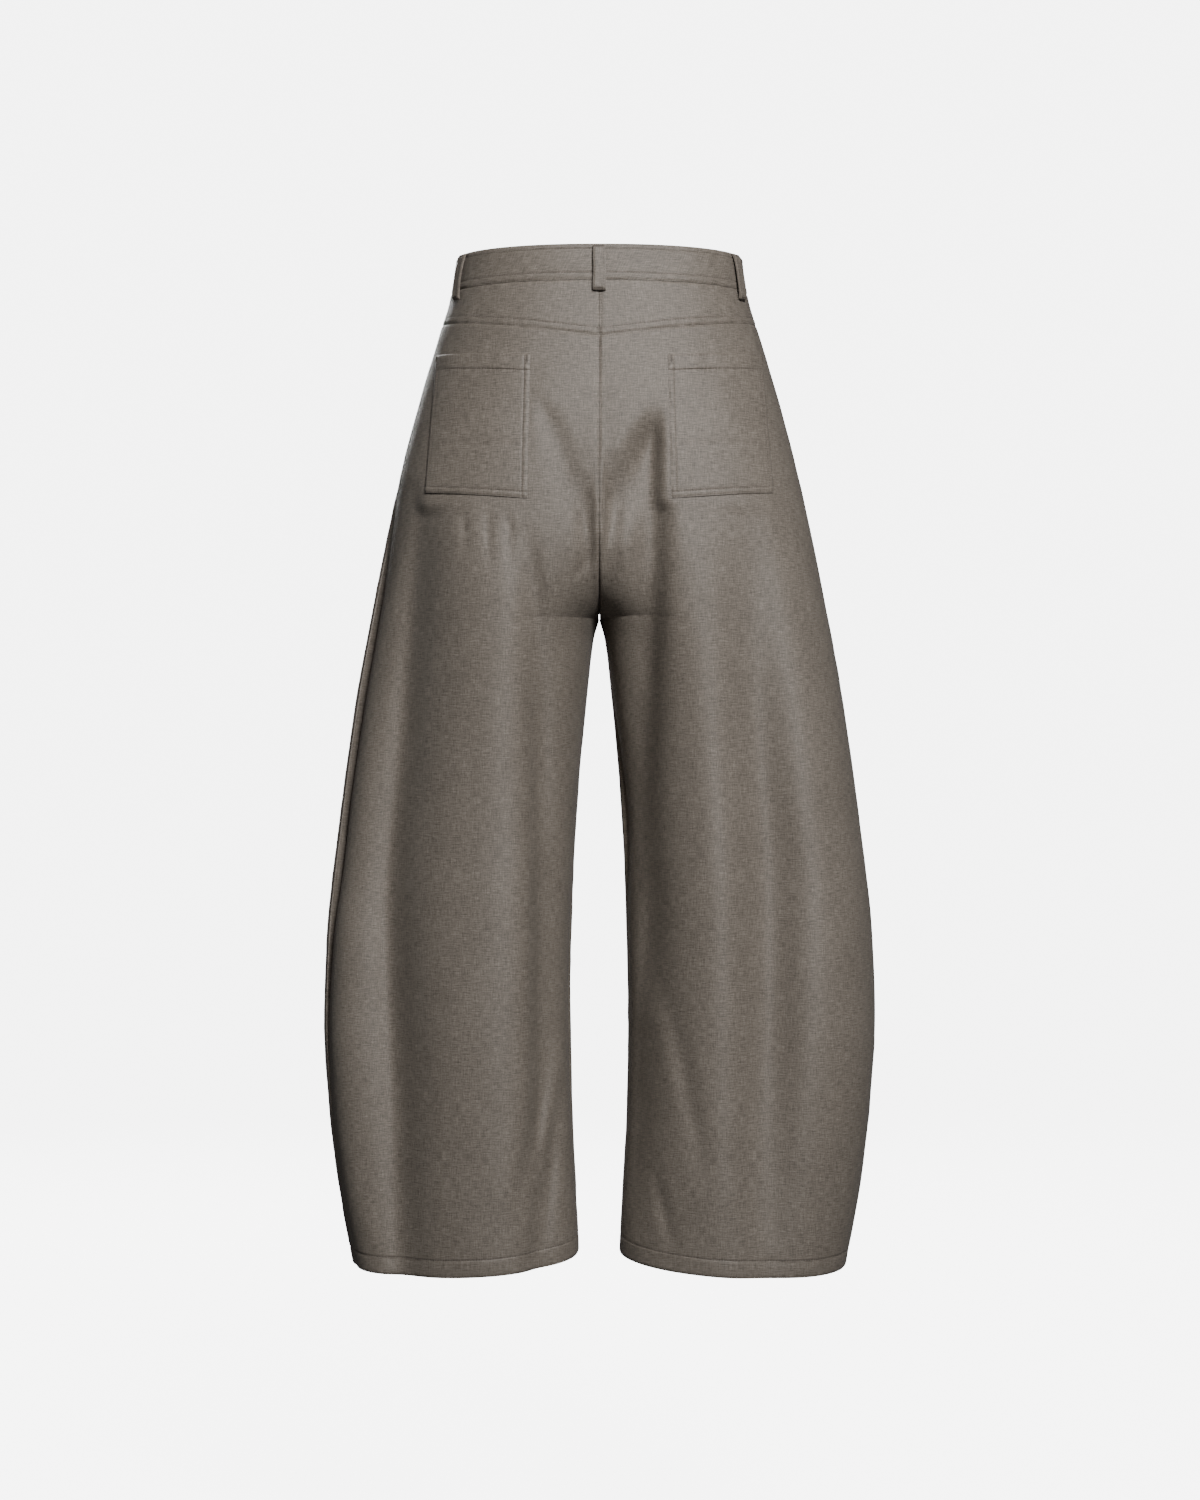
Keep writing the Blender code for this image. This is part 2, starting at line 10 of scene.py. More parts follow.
import bpy
import numpy as np
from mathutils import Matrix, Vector


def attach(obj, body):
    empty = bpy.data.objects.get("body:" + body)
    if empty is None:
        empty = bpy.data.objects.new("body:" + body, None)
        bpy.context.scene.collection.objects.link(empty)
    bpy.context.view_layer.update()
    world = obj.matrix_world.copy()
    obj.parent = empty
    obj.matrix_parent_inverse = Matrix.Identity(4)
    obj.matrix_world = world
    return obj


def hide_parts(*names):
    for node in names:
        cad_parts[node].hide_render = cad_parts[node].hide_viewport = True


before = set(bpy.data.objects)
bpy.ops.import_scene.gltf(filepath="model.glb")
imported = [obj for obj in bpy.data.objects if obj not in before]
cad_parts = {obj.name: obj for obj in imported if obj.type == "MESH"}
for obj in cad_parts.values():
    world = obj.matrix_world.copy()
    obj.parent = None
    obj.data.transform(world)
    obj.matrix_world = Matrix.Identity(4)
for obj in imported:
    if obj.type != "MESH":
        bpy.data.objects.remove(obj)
bpy.ops.object.select_all(action="DESELECT")

bl_info = {
    "name": "Barrel Leg Trousers",
    "version": (1, 0, 0),
    "blender": (4, 5, 0),
    "location": "3D View > Sidebar > Trousers",
    "description": "Makes the cloth, stitching and closure of a pair of trousers over their solids",
    "category": "Object",
}

LEFT, RIGHT = 1, -1
BACK, FRONT = 1, -1
SIDE_WORDS = {LEFT: "left", RIGHT: "right"}
FACE_WORDS = {BACK: "back", FRONT: "front"}

# The garment's own sizes, as its solids have them
CLOTH = 0.0014
SEAM = 0.0003
ROUNDNESS = 0.93
HEM_TURN = 0.020
BAND_TOP = 0.018
BAND_SEAM = -0.0175
YOKE_SIDE = -0.049
YOKE_CENTRE = -0.069
RISE_START = {BACK: -0.200, FRONT: -0.232}
CROTCH = -0.342
HEM_OUTER = -0.985
HEM_INNER = -0.972
RISE_SHAPE = 1.5
SMALLEST_PARTING = 1e-4
INNER_CURVE = 0.57
WAIST_LIFT = {BACK: 0.003, FRONT: -0.005}
HEM_DROP = {BACK: 0.011, FRONT: -0.003}
HEM_BLEND = -0.925

SECTION_COLUMNS = ("height", "half_width", "oval_centre", "back_depth", "front_depth")
SECTIONS = (
    (0.024, 0.1415, 0.004, 0.099, 0.097),
    (-0.018, 0.1480, 0.004, 0.103, 0.100),
    (-0.062, 0.1610, 0.004, 0.109, 0.105),
    (-0.122, 0.1790, 0.008, 0.118, 0.109),
    (-0.182, 0.1950, 0.022, 0.123, 0.112),
    (-0.262, 0.2130, 0.064, 0.121, 0.113),
    (-0.342, 0.2290, 0.101, 0.115, 0.111),
    (-0.422, 0.2435, 0.123, 0.109, 0.109),
    (-0.542, 0.2600, 0.140, 0.104, 0.106),
    (-0.662, 0.2730, 0.149, 0.101, 0.103),
    (-0.742, 0.2755, 0.152, 0.098, 0.099),
    (-0.822, 0.2710, 0.149, 0.093, 0.094),
    (-0.902, 0.2615, 0.142, 0.086, 0.087),
    (-0.990, 0.2455, 0.132, 0.077, 0.078),
)
GAP_COLUMNS = ("height", "half_gap")
GAPS = (
    (-0.342, 0.00015),
    (-0.362, 0.0055),
    (-0.422, 0.0125),
    (-0.522, 0.0215),
    (-0.622, 0.0265),
    (-0.722, 0.0285),
    (-0.822, 0.0270),
    (-0.922, 0.0225),
    (-0.990, 0.0190),
)

# Each fold is followed down the cloth by its stations. A station gives the height, the distance from the
# centre line, how wide the fold is on its inner and on its outer side, and its depth: troughs are positive
# and ridges negative. A fold that starts or ends inside a panel has no depth at its last station.
STATION_COLUMNS = ("height", "across", "inner_width", "outer_width", "depth")
FOLDS = {
    (LEFT, BACK): (
        # The hollow that parts the barrel's flat outer edge from the tube of the leg, and its steep side
        ((-0.200, 0.184, 0.034, 0.030, 0.000), (-0.260, 0.188, 0.042, 0.034, 0.010),
         (-0.330, 0.193, 0.050, 0.038, 0.022), (-0.420, 0.200, 0.056, 0.042, 0.032),
         (-0.520, 0.208, 0.060, 0.044, 0.038), (-0.620, 0.217, 0.062, 0.046, 0.040),
         (-0.720, 0.216, 0.060, 0.046, 0.040), (-0.820, 0.211, 0.057, 0.044, 0.035),
         (-0.920, 0.206, 0.050, 0.040, 0.024), (-1.010, 0.200, 0.045, 0.034, 0.012)),
        ((-0.200, 0.168, 0.018, 0.010, 0.000), (-0.300, 0.184, 0.020, 0.012, 0.006),
         (-0.470, 0.199, 0.022, 0.014, 0.010), (-0.620, 0.212, 0.022, 0.014, 0.011),
         (-0.800, 0.205, 0.024, 0.014, 0.010), (-0.920, 0.200, 0.024, 0.014, 0.008),
         (-1.010, 0.194, 0.022, 0.014, 0.005)),
        # The crest down the tube of the leg
        ((-0.230, 0.112, 0.030, 0.034, 0.000), (-0.400, 0.092, 0.030, 0.034, -0.005),
         (-0.620, 0.084, 0.028, 0.034, -0.008), (-0.850, 0.088, 0.030, 0.034, -0.007),
         (-1.010, 0.094, 0.030, 0.034, -0.004)),
        # Drapes down the inner thigh
        ((-0.250, 0.070, 0.010, 0.012, 0.000), (-0.320, 0.063, 0.010, 0.013, 0.0062),
         (-0.430, 0.056, 0.010, 0.014, 0.0070), (-0.570, 0.052, 0.010, 0.014, 0.000)),
        ((-0.400, 0.060, 0.018, 0.012, 0.000), (-0.500, 0.057, 0.020, 0.011, 0.0090),
         (-0.640, 0.056, 0.021, 0.011, 0.0140), (-0.800, 0.056, 0.021, 0.011, 0.0140),
         (-0.920, 0.058, 0.020, 0.011, 0.0100), (-1.010, 0.060, 0.018, 0.011, 0.0070)),
        # Short gathers above the hem
        ((-0.745, 0.034, 0.007, 0.007, 0.000), (-0.842, 0.0496, 0.007, 0.007, -0.0035),
         (-0.915, 0.064, 0.007, 0.007, 0.000)),
        ((-0.785, 0.051, 0.008, 0.009, 0.000), (-0.880, 0.072, 0.008, 0.009, 0.0042),
         (-0.950, 0.080, 0.008, 0.009, 0.000)),
        ((-0.800, 0.037, 0.007, 0.007, 0.000), (-0.890, 0.046, 0.007, 0.007, 0.0034),
         (-0.968, 0.054, 0.007, 0.007, 0.000)),
        # Drag lines from the hip and the seat towards the crotch
        ((-0.126, 0.066, 0.008, 0.010, 0.000), (-0.155, 0.048, 0.010, 0.012, 0.0030),
         (-0.195, 0.034, 0.012, 0.014, 0.0030), (-0.262, 0.026, 0.012, 0.012, 0.000)),
        ((-0.200, 0.016, 0.008, 0.009, 0.000), (-0.250, 0.013, 0.009, 0.010, 0.0060),
         (-0.290, 0.011, 0.008, 0.009, 0.0034), (-0.325, 0.010, 0.008, 0.008, 0.000)),
        # Short drops of cloth from the lower edge of the pocket
        ((-0.236, 0.132, 0.004, 0.004, 0.000), (-0.254, 0.131, 0.004, 0.004, 0.0022),
         (-0.290, 0.130, 0.004, 0.004, 0.000)),
        ((-0.236, 0.108, 0.003, 0.004, 0.000), (-0.258, 0.107, 0.003, 0.004, 0.0018),
         (-0.300, 0.106, 0.003, 0.004, 0.000)),
        ((-0.238, 0.088, 0.003, 0.003, 0.000), (-0.262, 0.087, 0.004, 0.004, 0.0020),
         (-0.318, 0.085, 0.004, 0.004, 0.000)),
        # A short crease above the crotch
        ((-0.266, 0.003, 0.005, 0.005, 0.000), (-0.286, 0.010, 0.005, 0.005, 0.0024),
         (-0.308, 0.024, 0.005, 0.005, 0.000)),
    ),
    (RIGHT, BACK): (
        ((-0.220, 0.140, 0.028, 0.024, 0.000), (-0.310, 0.146, 0.030, 0.027, 0.010),
         (-0.400, 0.152, 0.031, 0.029, 0.018), (-0.500, 0.159, 0.032, 0.030, 0.024),
         (-0.620, 0.167, 0.033, 0.031, 0.027), (-0.740, 0.166, 0.033, 0.031, 0.026),
         (-0.840, 0.163, 0.032, 0.031, 0.020), (-0.940, 0.164, 0.031, 0.030, 0.011),
         (-1.010, 0.165, 0.030, 0.030, 0.005)),
        ((-0.240, 0.110, 0.030, 0.028, 0.000), (-0.420, 0.112, 0.032, 0.028, -0.004),
         (-0.640, 0.120, 0.034, 0.026, -0.007), (-0.850, 0.126, 0.034, 0.028, -0.006),
         (-1.010, 0.128, 0.034, 0.030, -0.004)),
        # The long trough from the inside of the pocket down the inner thigh
        ((-0.130, 0.060, 0.014, 0.012, 0.000), (-0.195, 0.053, 0.020, 0.013, 0.0120),
         (-0.290, 0.051, 0.024, 0.014, 0.0180), (-0.400, 0.045, 0.022, 0.016, 0.0180),
         (-0.520, 0.040, 0.019, 0.019, 0.0150), (-0.640, 0.046, 0.016, 0.022, 0.0080),
         (-0.740, 0.054, 0.014, 0.024, 0.000)),
        ((-0.580, 0.052, 0.010, 0.020, 0.000), (-0.680, 0.043, 0.010, 0.020, 0.0070),
         (-0.780, 0.039, 0.010, 0.020, 0.0075), (-0.880, 0.038, 0.010, 0.020, 0.0050),
         (-0.960, 0.038, 0.010, 0.020, 0.000)),
        # The slanting gather from the knee towards the hem, with a ridge beside it
        ((-0.690, 0.060, 0.012, 0.010, 0.000), (-0.774, 0.079, 0.012, 0.010, 0.0034),
         (-0.830, 0.090, 0.012, 0.010, 0.0030), (-0.910, 0.107, 0.012, 0.010, 0.000)),
        ((-0.700, 0.051, 0.009, 0.008, 0.000), (-0.782, 0.070, 0.009, 0.008, -0.0016),
         (-0.895, 0.095, 0.009, 0.008, 0.000)),
        ((-0.875, 0.052, 0.006, 0.007, 0.000), (-0.925, 0.063, 0.006, 0.007, 0.0030),
         (-0.972, 0.073, 0.006, 0.007, 0.000)),
        ((-0.850, 0.125, 0.010, 0.012, 0.000), (-0.910, 0.150, 0.010, 0.012, 0.0018),
         (-0.965, 0.170, 0.010, 0.012, 0.000)),
        ((-0.140, 0.064, 0.014, 0.014, 0.000), (-0.180, 0.044, 0.016, 0.018, 0.0090),
         (-0.222, 0.026, 0.016, 0.018, 0.0085), (-0.275, 0.012, 0.013, 0.014, 0.000)),
        ((-0.180, 0.014, 0.016, 0.010, 0.000), (-0.230, 0.013, 0.016, 0.010, 0.0060),
         (-0.280, 0.012, 0.014, 0.010, 0.0046), (-0.325, 0.009, 0.012, 0.010, 0.000)),
    ),
    (LEFT, FRONT): (
        ((-0.120, 0.178, 0.030, 0.016, 0.000), (-0.300, 0.192, 0.036, 0.020, 0.010),
         (-0.470, 0.198, 0.044, 0.023, 0.020), (-0.650, 0.200, 0.046, 0.025, 0.024),
         (-0.800, 0.192, 0.044, 0.026, 0.021), (-0.920, 0.184, 0.040, 0.024, 0.012),
         (-1.010, 0.178, 0.036, 0.022, 0.006)),
        ((-0.260, 0.108, 0.030, 0.030, 0.000), (-0.450, 0.106, 0.032, 0.030, -0.004),
         (-0.650, 0.112, 0.032, 0.030, -0.006), (-1.010, 0.116, 0.032, 0.030, -0.003)),
        ((-0.310, 0.068, 0.011, 0.014, 0.000), (-0.420, 0.059, 0.011, 0.015, 0.0062),
         (-0.540, 0.056, 0.011, 0.015, 0.0060), (-0.660, 0.056, 0.011, 0.014, 0.000)),
        ((-0.580, 0.056, 0.011, 0.014, 0.000), (-0.720, 0.049, 0.011, 0.015, 0.0060),
         (-0.850, 0.053, 0.011, 0.014, 0.0044), (-0.960, 0.061, 0.011, 0.014, 0.000)),
        ((-0.282, 0.066, 0.006, 0.007, 0.000), (-0.302, 0.034, 0.006, 0.007, 0.0022),
         (-0.326, 0.010, 0.006, 0.007, 0.000)),
        ((-0.236, 0.050, 0.006, 0.007, 0.000), (-0.268, 0.027, 0.006, 0.007, 0.0018),
         (-0.300, 0.009, 0.006, 0.007, 0.000)),
        ((-0.045, 0.088, 0.008, 0.009, 0.000), (-0.110, 0.096, 0.008, 0.009, 0.0015),
         (-0.185, 0.101, 0.008, 0.009, 0.000)),
        ((-0.780, 0.068, 0.008, 0.009, 0.000), (-0.870, 0.086, 0.008, 0.009, 0.0036),
         (-0.955, 0.094, 0.008, 0.009, 0.000)),
    ),
    (RIGHT, FRONT): (
        ((-0.130, 0.180, 0.030, 0.015, 0.000), (-0.300, 0.193, 0.036, 0.019, 0.009),
         (-0.470, 0.203, 0.048, 0.022, 0.021), (-0.640, 0.210, 0.052, 0.023, 0.026),
         (-0.800, 0.200, 0.050, 0.024, 0.023), (-0.920, 0.190, 0.044, 0.023, 0.014),
         (-1.010, 0.184, 0.040, 0.021, 0.007)),
        ((-0.250, 0.104, 0.030, 0.032, 0.000), (-0.450, 0.098, 0.030, 0.032, -0.005),
         (-0.680, 0.100, 0.030, 0.032, -0.007), (-1.010, 0.104, 0.030, 0.032, -0.004)),
        ((-0.300, 0.072, 0.011, 0.015, 0.000), (-0.400, 0.061, 0.011, 0.016, 0.0060),
         (-0.510, 0.055, 0.011, 0.016, 0.0064), (-0.620, 0.052, 0.011, 0.015, 0.000)),
        ((-0.560, 0.054, 0.011, 0.016, 0.000), (-0.700, 0.047, 0.011, 0.017, 0.0064),
         (-0.840, 0.050, 0.011, 0.016, 0.0046), (-0.950, 0.057, 0.011, 0.016, 0.000)),
        ((-0.292, 0.060, 0.006, 0.007, 0.000), (-0.309, 0.030, 0.006, 0.007, 0.0020),
         (-0.330, 0.010, 0.006, 0.007, 0.000)),
        ((-0.228, 0.056, 0.006, 0.007, 0.000), (-0.266, 0.030, 0.006, 0.007, 0.0020),
         (-0.304, 0.009, 0.006, 0.007, 0.000)),
        ((-0.042, 0.084, 0.008, 0.009, 0.000), (-0.105, 0.094, 0.008, 0.009, 0.0013),
         (-0.175, 0.097, 0.008, 0.009, 0.000)),
        ((-0.750, 0.060, 0.009, 0.009, 0.000), (-0.840, 0.080, 0.009, 0.009, 0.0038),
         (-0.935, 0.098, 0.009, 0.009, 0.000)),
    ),
}

# Back patch pockets: corners as distances from the centre line and heights
POCKET_INNER = (0.0665, 0.0695)
POCKET_OUTER = (0.1600, 0.1700)
POCKET_TOP = (-0.0880, -0.0820)
POCKET_BOTTOM = (-0.2285, -0.2205)
POCKET_LIFT = 0.0008
POCKET_CALM = 0.016
POCKET_CLOTH = 0.0012
POCKET_HEM_CLOTH = 0.0018
POCKET_HEM = 0.016
POCKET_GAPE = 0.0012
POCKET_BELLY = 0.0008
POCKET_BELLY_SHAPE = 0.7

# Waistband and belt loops
BAND_CLOTH = 0.0026
BAND_PROUD = 0.0006
LAP_OVER = 0.014
LAP_UNDER = 0.030
LAP_EASE = 0.018
LOOP_PLACES = {
    "belt_loop_centre_back": 0.0,
    "belt_loop_back_left": 68.0,
    "belt_loop_back_right": -68.0,
    "belt_loop_front_left": 142.0,
    "belt_loop_front_right": -142.0,
}
LOOP_WIDTH = 0.012
LOOP_CLOTH = 0.0016
LOOP_TOP = 0.0165
LOOP_BOTTOM = -0.0285
LOOP_STAND = 0.0036
LOOP_END_CLOTH = 0.0009

# Closure: the zip behind the fly, its slider and the button on the lapped end of the band
ZIP_TOP = BAND_SEAM + WAIST_LIFT[FRONT] - SEAM
ZIP_BOTTOM = -0.165
ZIP_CLOTH = 0.0011
ZIP_LIFT = -CLOTH - 2 * SEAM
TOOTH_PITCH = 0.0013
TOOTH_LENGTH = 0.0030
TOOTH_THICKNESS = 0.0008
SLIDER_SIZE = (0.0065, 0.0022, 0.0105)
SLIDER_HEIGHT = -0.034
SLIDER_BEVEL = 0.0006
PULL_SIZE = (0.0042, 0.0008, 0.0150)
PULL_HOLE = 0.0012
BUTTON_RADIUS = 0.0085
BUTTON_THICKNESS = 0.0030
BUTTON_RIM = 0.0018
BUTTON_DISH = 0.0007
BUTTON_BEVEL = 0.0005
BUTTON_STAND = 0.0006
BUTTON_HOLE_RADIUS = 0.0010
BUTTON_HOLE_SPREAD = 0.0019
BUTTONHOLE_LENGTH = 0.0125
BUTTONHOLE_WIDTH = 0.0016
BUTTONHOLE_START = -0.012
BUTTONHOLE_POINTS = 24
BUTTONHOLE_PITCH = 0.00055
BUTTON_SIDES = 48
BUTTON_FACE = 0.9
BUTTON_SHARP = math.radians(40)
SLIDER_SHARP = math.radians(35)
BUTTON_HOLE_SIDES = 16
BUTTON_THREAD = 0.0006
BUTTON_THREAD_SPREAD = 0.0003
BUTTON_THREAD_REACH = 5.2
ZIP_SHARE_APART = 0.25
TOOTH_SHARE_OUT = 0.3
SLIDER_WAIST = 0.72
BRIDGE_RADIUS = 0.0021
BRIDGE_THICKNESS = 0.0005
BRIDGE_PLACE = 0.0008
PULL_HANG = (0.001, 0.0016)
PULL_HOLE_PLACE = (0.0032, 0.0027)
HOLE_CUT = 0.01
BRIDGE_SIDES = (20, 8)
PULL_HOLE_SIDES = 20

# The two edges of cloth that are pressed open behind a seam
ALLOWANCE = 0.0055
ALLOWANCE_DROP = CLOTH + 0.0012
ALLOWANCE_STEP = 0.006
ALLOWANCE_COLUMNS = (1.0, 0.66, 0.33, 0.0)

# Steps of the cloth's grids: short ones beside an edge, where it rolls over, and even ones elsewhere
EDGE_STEPS = (0.0, 0.0003, 0.0008, 0.0014, 0.0022, 0.0034, 0.0050, 0.0070, 0.0094)
GRID_STEP = 0.0030
LEG_WIDTH = 0.27
SEAT_SHARE = 0.6
TINY_TURN = 1e-4
TINY_HEIGHT = 1e-5
FOLD_RUN = 0.002
GRAIN_LINE = 0.105
FOLD_LEAN = np.array((0.2, 1.0, 0.2))
SHARP_EDGE = math.radians(50)

# Small amounts that keep the sums safe, and how finely they are worked
SMALLEST_LENGTH = 1e-12
TINY_ANGLE = 1e-6
NOISE_KNOTS = 64
HALVINGS = 30
PLACE_DIGITS = 6
SHORTEST_STEP = 0.00012
LEVEL_SAMPLES = 6001

# What the rows and columns of each kind of cloth are spread over, and how close they lie beside stitches
LEG_ROW_STEP = GRID_STEP + 0.0004
HEM_LEDGE = 0.001
TURN_MARGIN = 0.0002
BESIDE_STITCH = (-0.0012, -0.0006, 0, 0.0006, 0.0012)
BESIDE_HEM_STITCH = (-0.002, -0.0012, -0.0006, 0, 0.0006, 0.0012, 0.002)
YOKE_WIDTH = 0.245
YOKE_LENGTH = 0.044
YOKE_ROW_STEP = 0.0022
WAIST_RADIUS = 0.124
BAND_ROW_STEP = 0.0018
POCKET_SIZE = (0.095, 0.1405)
POCKET_STEP = 0.0024
POCKET_MIDDLE = 0.115
LOOP_ROW_STEP = 0.0012


def curve_through(heights, values):
    """A smooth curve through the values, with no overshoot between them. Heights run downwards."""
    at = np.array(heights[::-1])
    level = np.array(values[::-1])
    steps = np.diff(at)
    rises = np.diff(level) / steps
    slopes = np.concatenate([rises[:1], np.zeros(len(at) - 2), rises[-1:]])
    same_way = rises[:-1] * rises[1:] > 0
    before, after = rises[:-1][same_way], rises[1:][same_way]
    slopes[1:-1][same_way] = 2 * before * after / (before + after)

    def value_at(height):
        i = np.clip(np.searchsorted(at, height) - 1, 0, len(steps) - 1)
        t = (height - at[i]) / steps[i]
        bend = (2 * t + 1) * (1 - t) ** 2 * level[i] + (3 - 2 * t) * t**2 * level[i + 1]
        lean = t * (1 - t) ** 2 * slopes[i] - (1 - t) * t**2 * slopes[i + 1]
        return bend + lean * steps[i]

    return value_at


def table_curve(rows, columns, name):
    place = columns.index(name)
    return curve_through([row[0] for row in rows], [row[place] for row in rows])


half_width_at = table_curve(SECTIONS, SECTION_COLUMNS, "half_width")
oval_centre_at = table_curve(SECTIONS, SECTION_COLUMNS, "oval_centre")
half_gap_at = table_curve(GAPS, GAP_COLUMNS, "half_gap")
depth_at = {
    BACK: table_curve(SECTIONS, SECTION_COLUMNS, "back_depth"),
    FRONT: table_curve(SECTIONS, SECTION_COLUMNS, "front_depth"),
}


def rounded(value):
    return np.sign(value) * np.abs(value) ** ROUNDNESS


def smooth(value):
    """0 below 0 and 1 above 1, with a soft rise between them."""
    t = np.clip(value, 0, 1)
    return t * t * (3 - 2 * t)


def bump(distance, width):
    return np.exp(-((distance / width) ** 2))


def plain_surface(face, turn, height):
    """The cloth before its folds, on the left side of the body.

    Turn runs from 0 at the side seam to 1 at the inner end: the centre seam down to the crotch, and
    the inseam below it.
    """
    centre = oval_centre_at(height)
    depth = depth_at[face](height)
    inner = np.where(height >= CROTCH, SEAM / 2, half_gap_at(np.minimum(height, CROTCH)))
    start = RISE_START[face]
    parting = np.clip((start - height) / (start - CROTCH), SMALLEST_PARTING, 1) ** RISE_SHAPE
    end_angle = np.arcsin(parting ** (1 / ROUNDNESS))
    outer_length = math.pi / 2 * np.sqrt(((half_width_at(height) - centre) ** 2 + depth**2) / 2)
    inner_length = centre - inner + INNER_CURVE * depth * (1 - np.cos(end_angle))
    outer_share = outer_length / (outer_length + np.maximum(inner_length, 0))
    quarter = turn / outer_share * math.pi / 2
    rest = np.maximum(turn - outer_share, 0) / np.maximum(1 - outer_share, TINY_TURN) * end_angle
    on_outer = quarter <= math.pi / 2
    reach = rounded(np.sin(rest)) / rounded(np.sin(end_angle))
    x_outer = centre + (half_width_at(height) - centre) * rounded(np.cos(quarter))
    x = np.where(on_outer, x_outer, centre - (centre - inner) * reach)
    y = face * depth * np.where(on_outer, rounded(np.sin(quarter)), rounded(np.cos(rest)))
    return np.stack([x, y, height + 0 * x], axis=-1)


def plain_normals(face, turn, height):
    along = plain_surface(face, turn + TINY_TURN, height) - plain_surface(face, turn - TINY_TURN, height)
    up = plain_surface(face, turn, height + TINY_HEIGHT) - plain_surface(face, turn, height - TINY_HEIGHT)
    return unit(np.cross(along, up) * face)


def unit(vectors):
    return vectors / np.maximum(np.linalg.norm(vectors, axis=-1, keepdims=True), SMALLEST_LENGTH)


def grid_normals(points, like):
    """Normals of a grid of points, turned to the same side as the given ones."""
    normal = unit(np.cross(np.gradient(points, axis=1), np.gradient(points, axis=0)))
    return normal * np.sign((normal * like).sum(axis=-1, keepdims=True))


def run_lengths(points, axis):
    """How far along the grid each point is from its first row or column."""
    steps = np.linalg.norm(np.diff(points, axis=axis), axis=-1)
    start = np.zeros_like(np.take(steps, [0], axis=axis))
    return np.concatenate([start, np.cumsum(steps, axis=axis)], axis=axis)


def noise_field(u, v, cell_u, cell_v, seed):
    """Soft uneven heights between -1 and 1, at most one hill or hollow to a cell."""
    random = np.random.RandomState(seed)
    knots = random.uniform(-1, 1, (NOISE_KNOTS, NOISE_KNOTS))
    i, j = u / cell_u, v / cell_v
    low_i, low_j = np.floor(i).astype(int), np.floor(j).astype(int)
    s, t = smooth(i - low_i), smooth(j - low_j)

    def knot(a, b):
        return knots[(low_i + a) % NOISE_KNOTS, (low_j + b) % NOISE_KNOTS]

    return (knot(0, 0) * (1 - s) + knot(1, 0) * s) * (1 - t) + (knot(0, 1) * (1 - s) + knot(1, 1) * s) * t


def fold_shape(stations, across, height):
    """One fold's depth at each point of the cloth, followed down through its stations."""
    top, bottom = stations[0][0], stations[-1][0]
    within = np.clip(height, bottom, top)
    at = {name: table_curve(stations, STATION_COLUMNS, name)(within) for name in STATION_COLUMNS[1:]}
    path = table_curve(stations, STATION_COLUMNS, "across")
    above, below = np.minimum(within + FOLD_RUN, top), np.maximum(within - FOLD_RUN, bottom)
    lean = (path(above) - path(below)) / (2 * FOLD_RUN)
    offset = (across - at["across"]) / np.sqrt(1 + lean**2)
    width = np.where(offset > 0, at["outer_width"], at["inner_width"])
    inside = (height <= top) & (height >= bottom)
    return np.where(inside, at["depth"], 0) * bump(offset, width)


def calm_round_pocket(across, height):
    """0 under a back pocket, where the cloth lies smooth, rising to 1 a little way outside it."""
    beside = np.maximum(POCKET_INNER[0] - across, across - POCKET_OUTER[1])
    above = np.maximum(POCKET_BOTTOM[0] - height, height - POCKET_TOP[1])
    return smooth(np.hypot(np.maximum(beside, 0), np.maximum(above, 0)) / POCKET_CALM)


def fold_depths(side, face, across, height):
    depth = np.zeros_like(across)
    for stations in FOLDS[(side, face)]:
        depth += fold_shape(stations, across, height)
    return depth * calm_round_pocket(across, height) if face == BACK else depth


def turn_at(face, across, height):
    """The turn at which the cloth is this far from the centre line, by halving."""
    low = np.zeros(np.broadcast(across, height).shape)
    high = np.ones_like(low)
    for _ in range(HALVINGS):
        middle = (low + high) / 2
        outside = plain_surface(face, middle, height + 0 * middle)[..., 0] > across
        low = np.where(outside, middle, low)
        high = np.where(outside, high, middle)
    return (low + high) / 2


def waist_lift(face, turn):
    return WAIST_LIFT[face] * np.sin(turn * math.pi / 2)


def yoke_height(turn):
    across = plain_surface(BACK, turn, YOKE_SIDE + 0 * turn)[..., 0]
    share = across / half_width_at(np.array(YOKE_SIDE))
    return YOKE_CENTRE + (YOKE_SIDE - YOKE_CENTRE) * share


def hem_height(face, turn):
    points = plain_surface(face, turn, HEM_OUTER + 0 * turn)
    inner, outer = half_gap_at(np.array(HEM_OUTER)), half_width_at(np.array(HEM_OUTER))
    share = (points[..., 0] - inner) / (outer - inner)
    return HEM_INNER + (HEM_OUTER - HEM_INNER) * share - HEM_DROP[face] * np.sin(turn * math.pi)


def graded(length, step, extra=()):
    """Places from 0 to length: short steps beside both ends, even steps between, and any extra ones."""
    near = np.array(EDGE_STEPS)
    between = np.linspace(near[-1], length - near[-1], 1 + math.ceil((length - 2 * near[-1]) / step))[1:-1]
    places = np.concatenate([near, between, length - near[::-1], np.array(extra)])
    places = np.unique(np.round(places, PLACE_DIGITS))
    keep = np.concatenate([[True], np.diff(places) > SHORTEST_STEP])
    return places[keep]


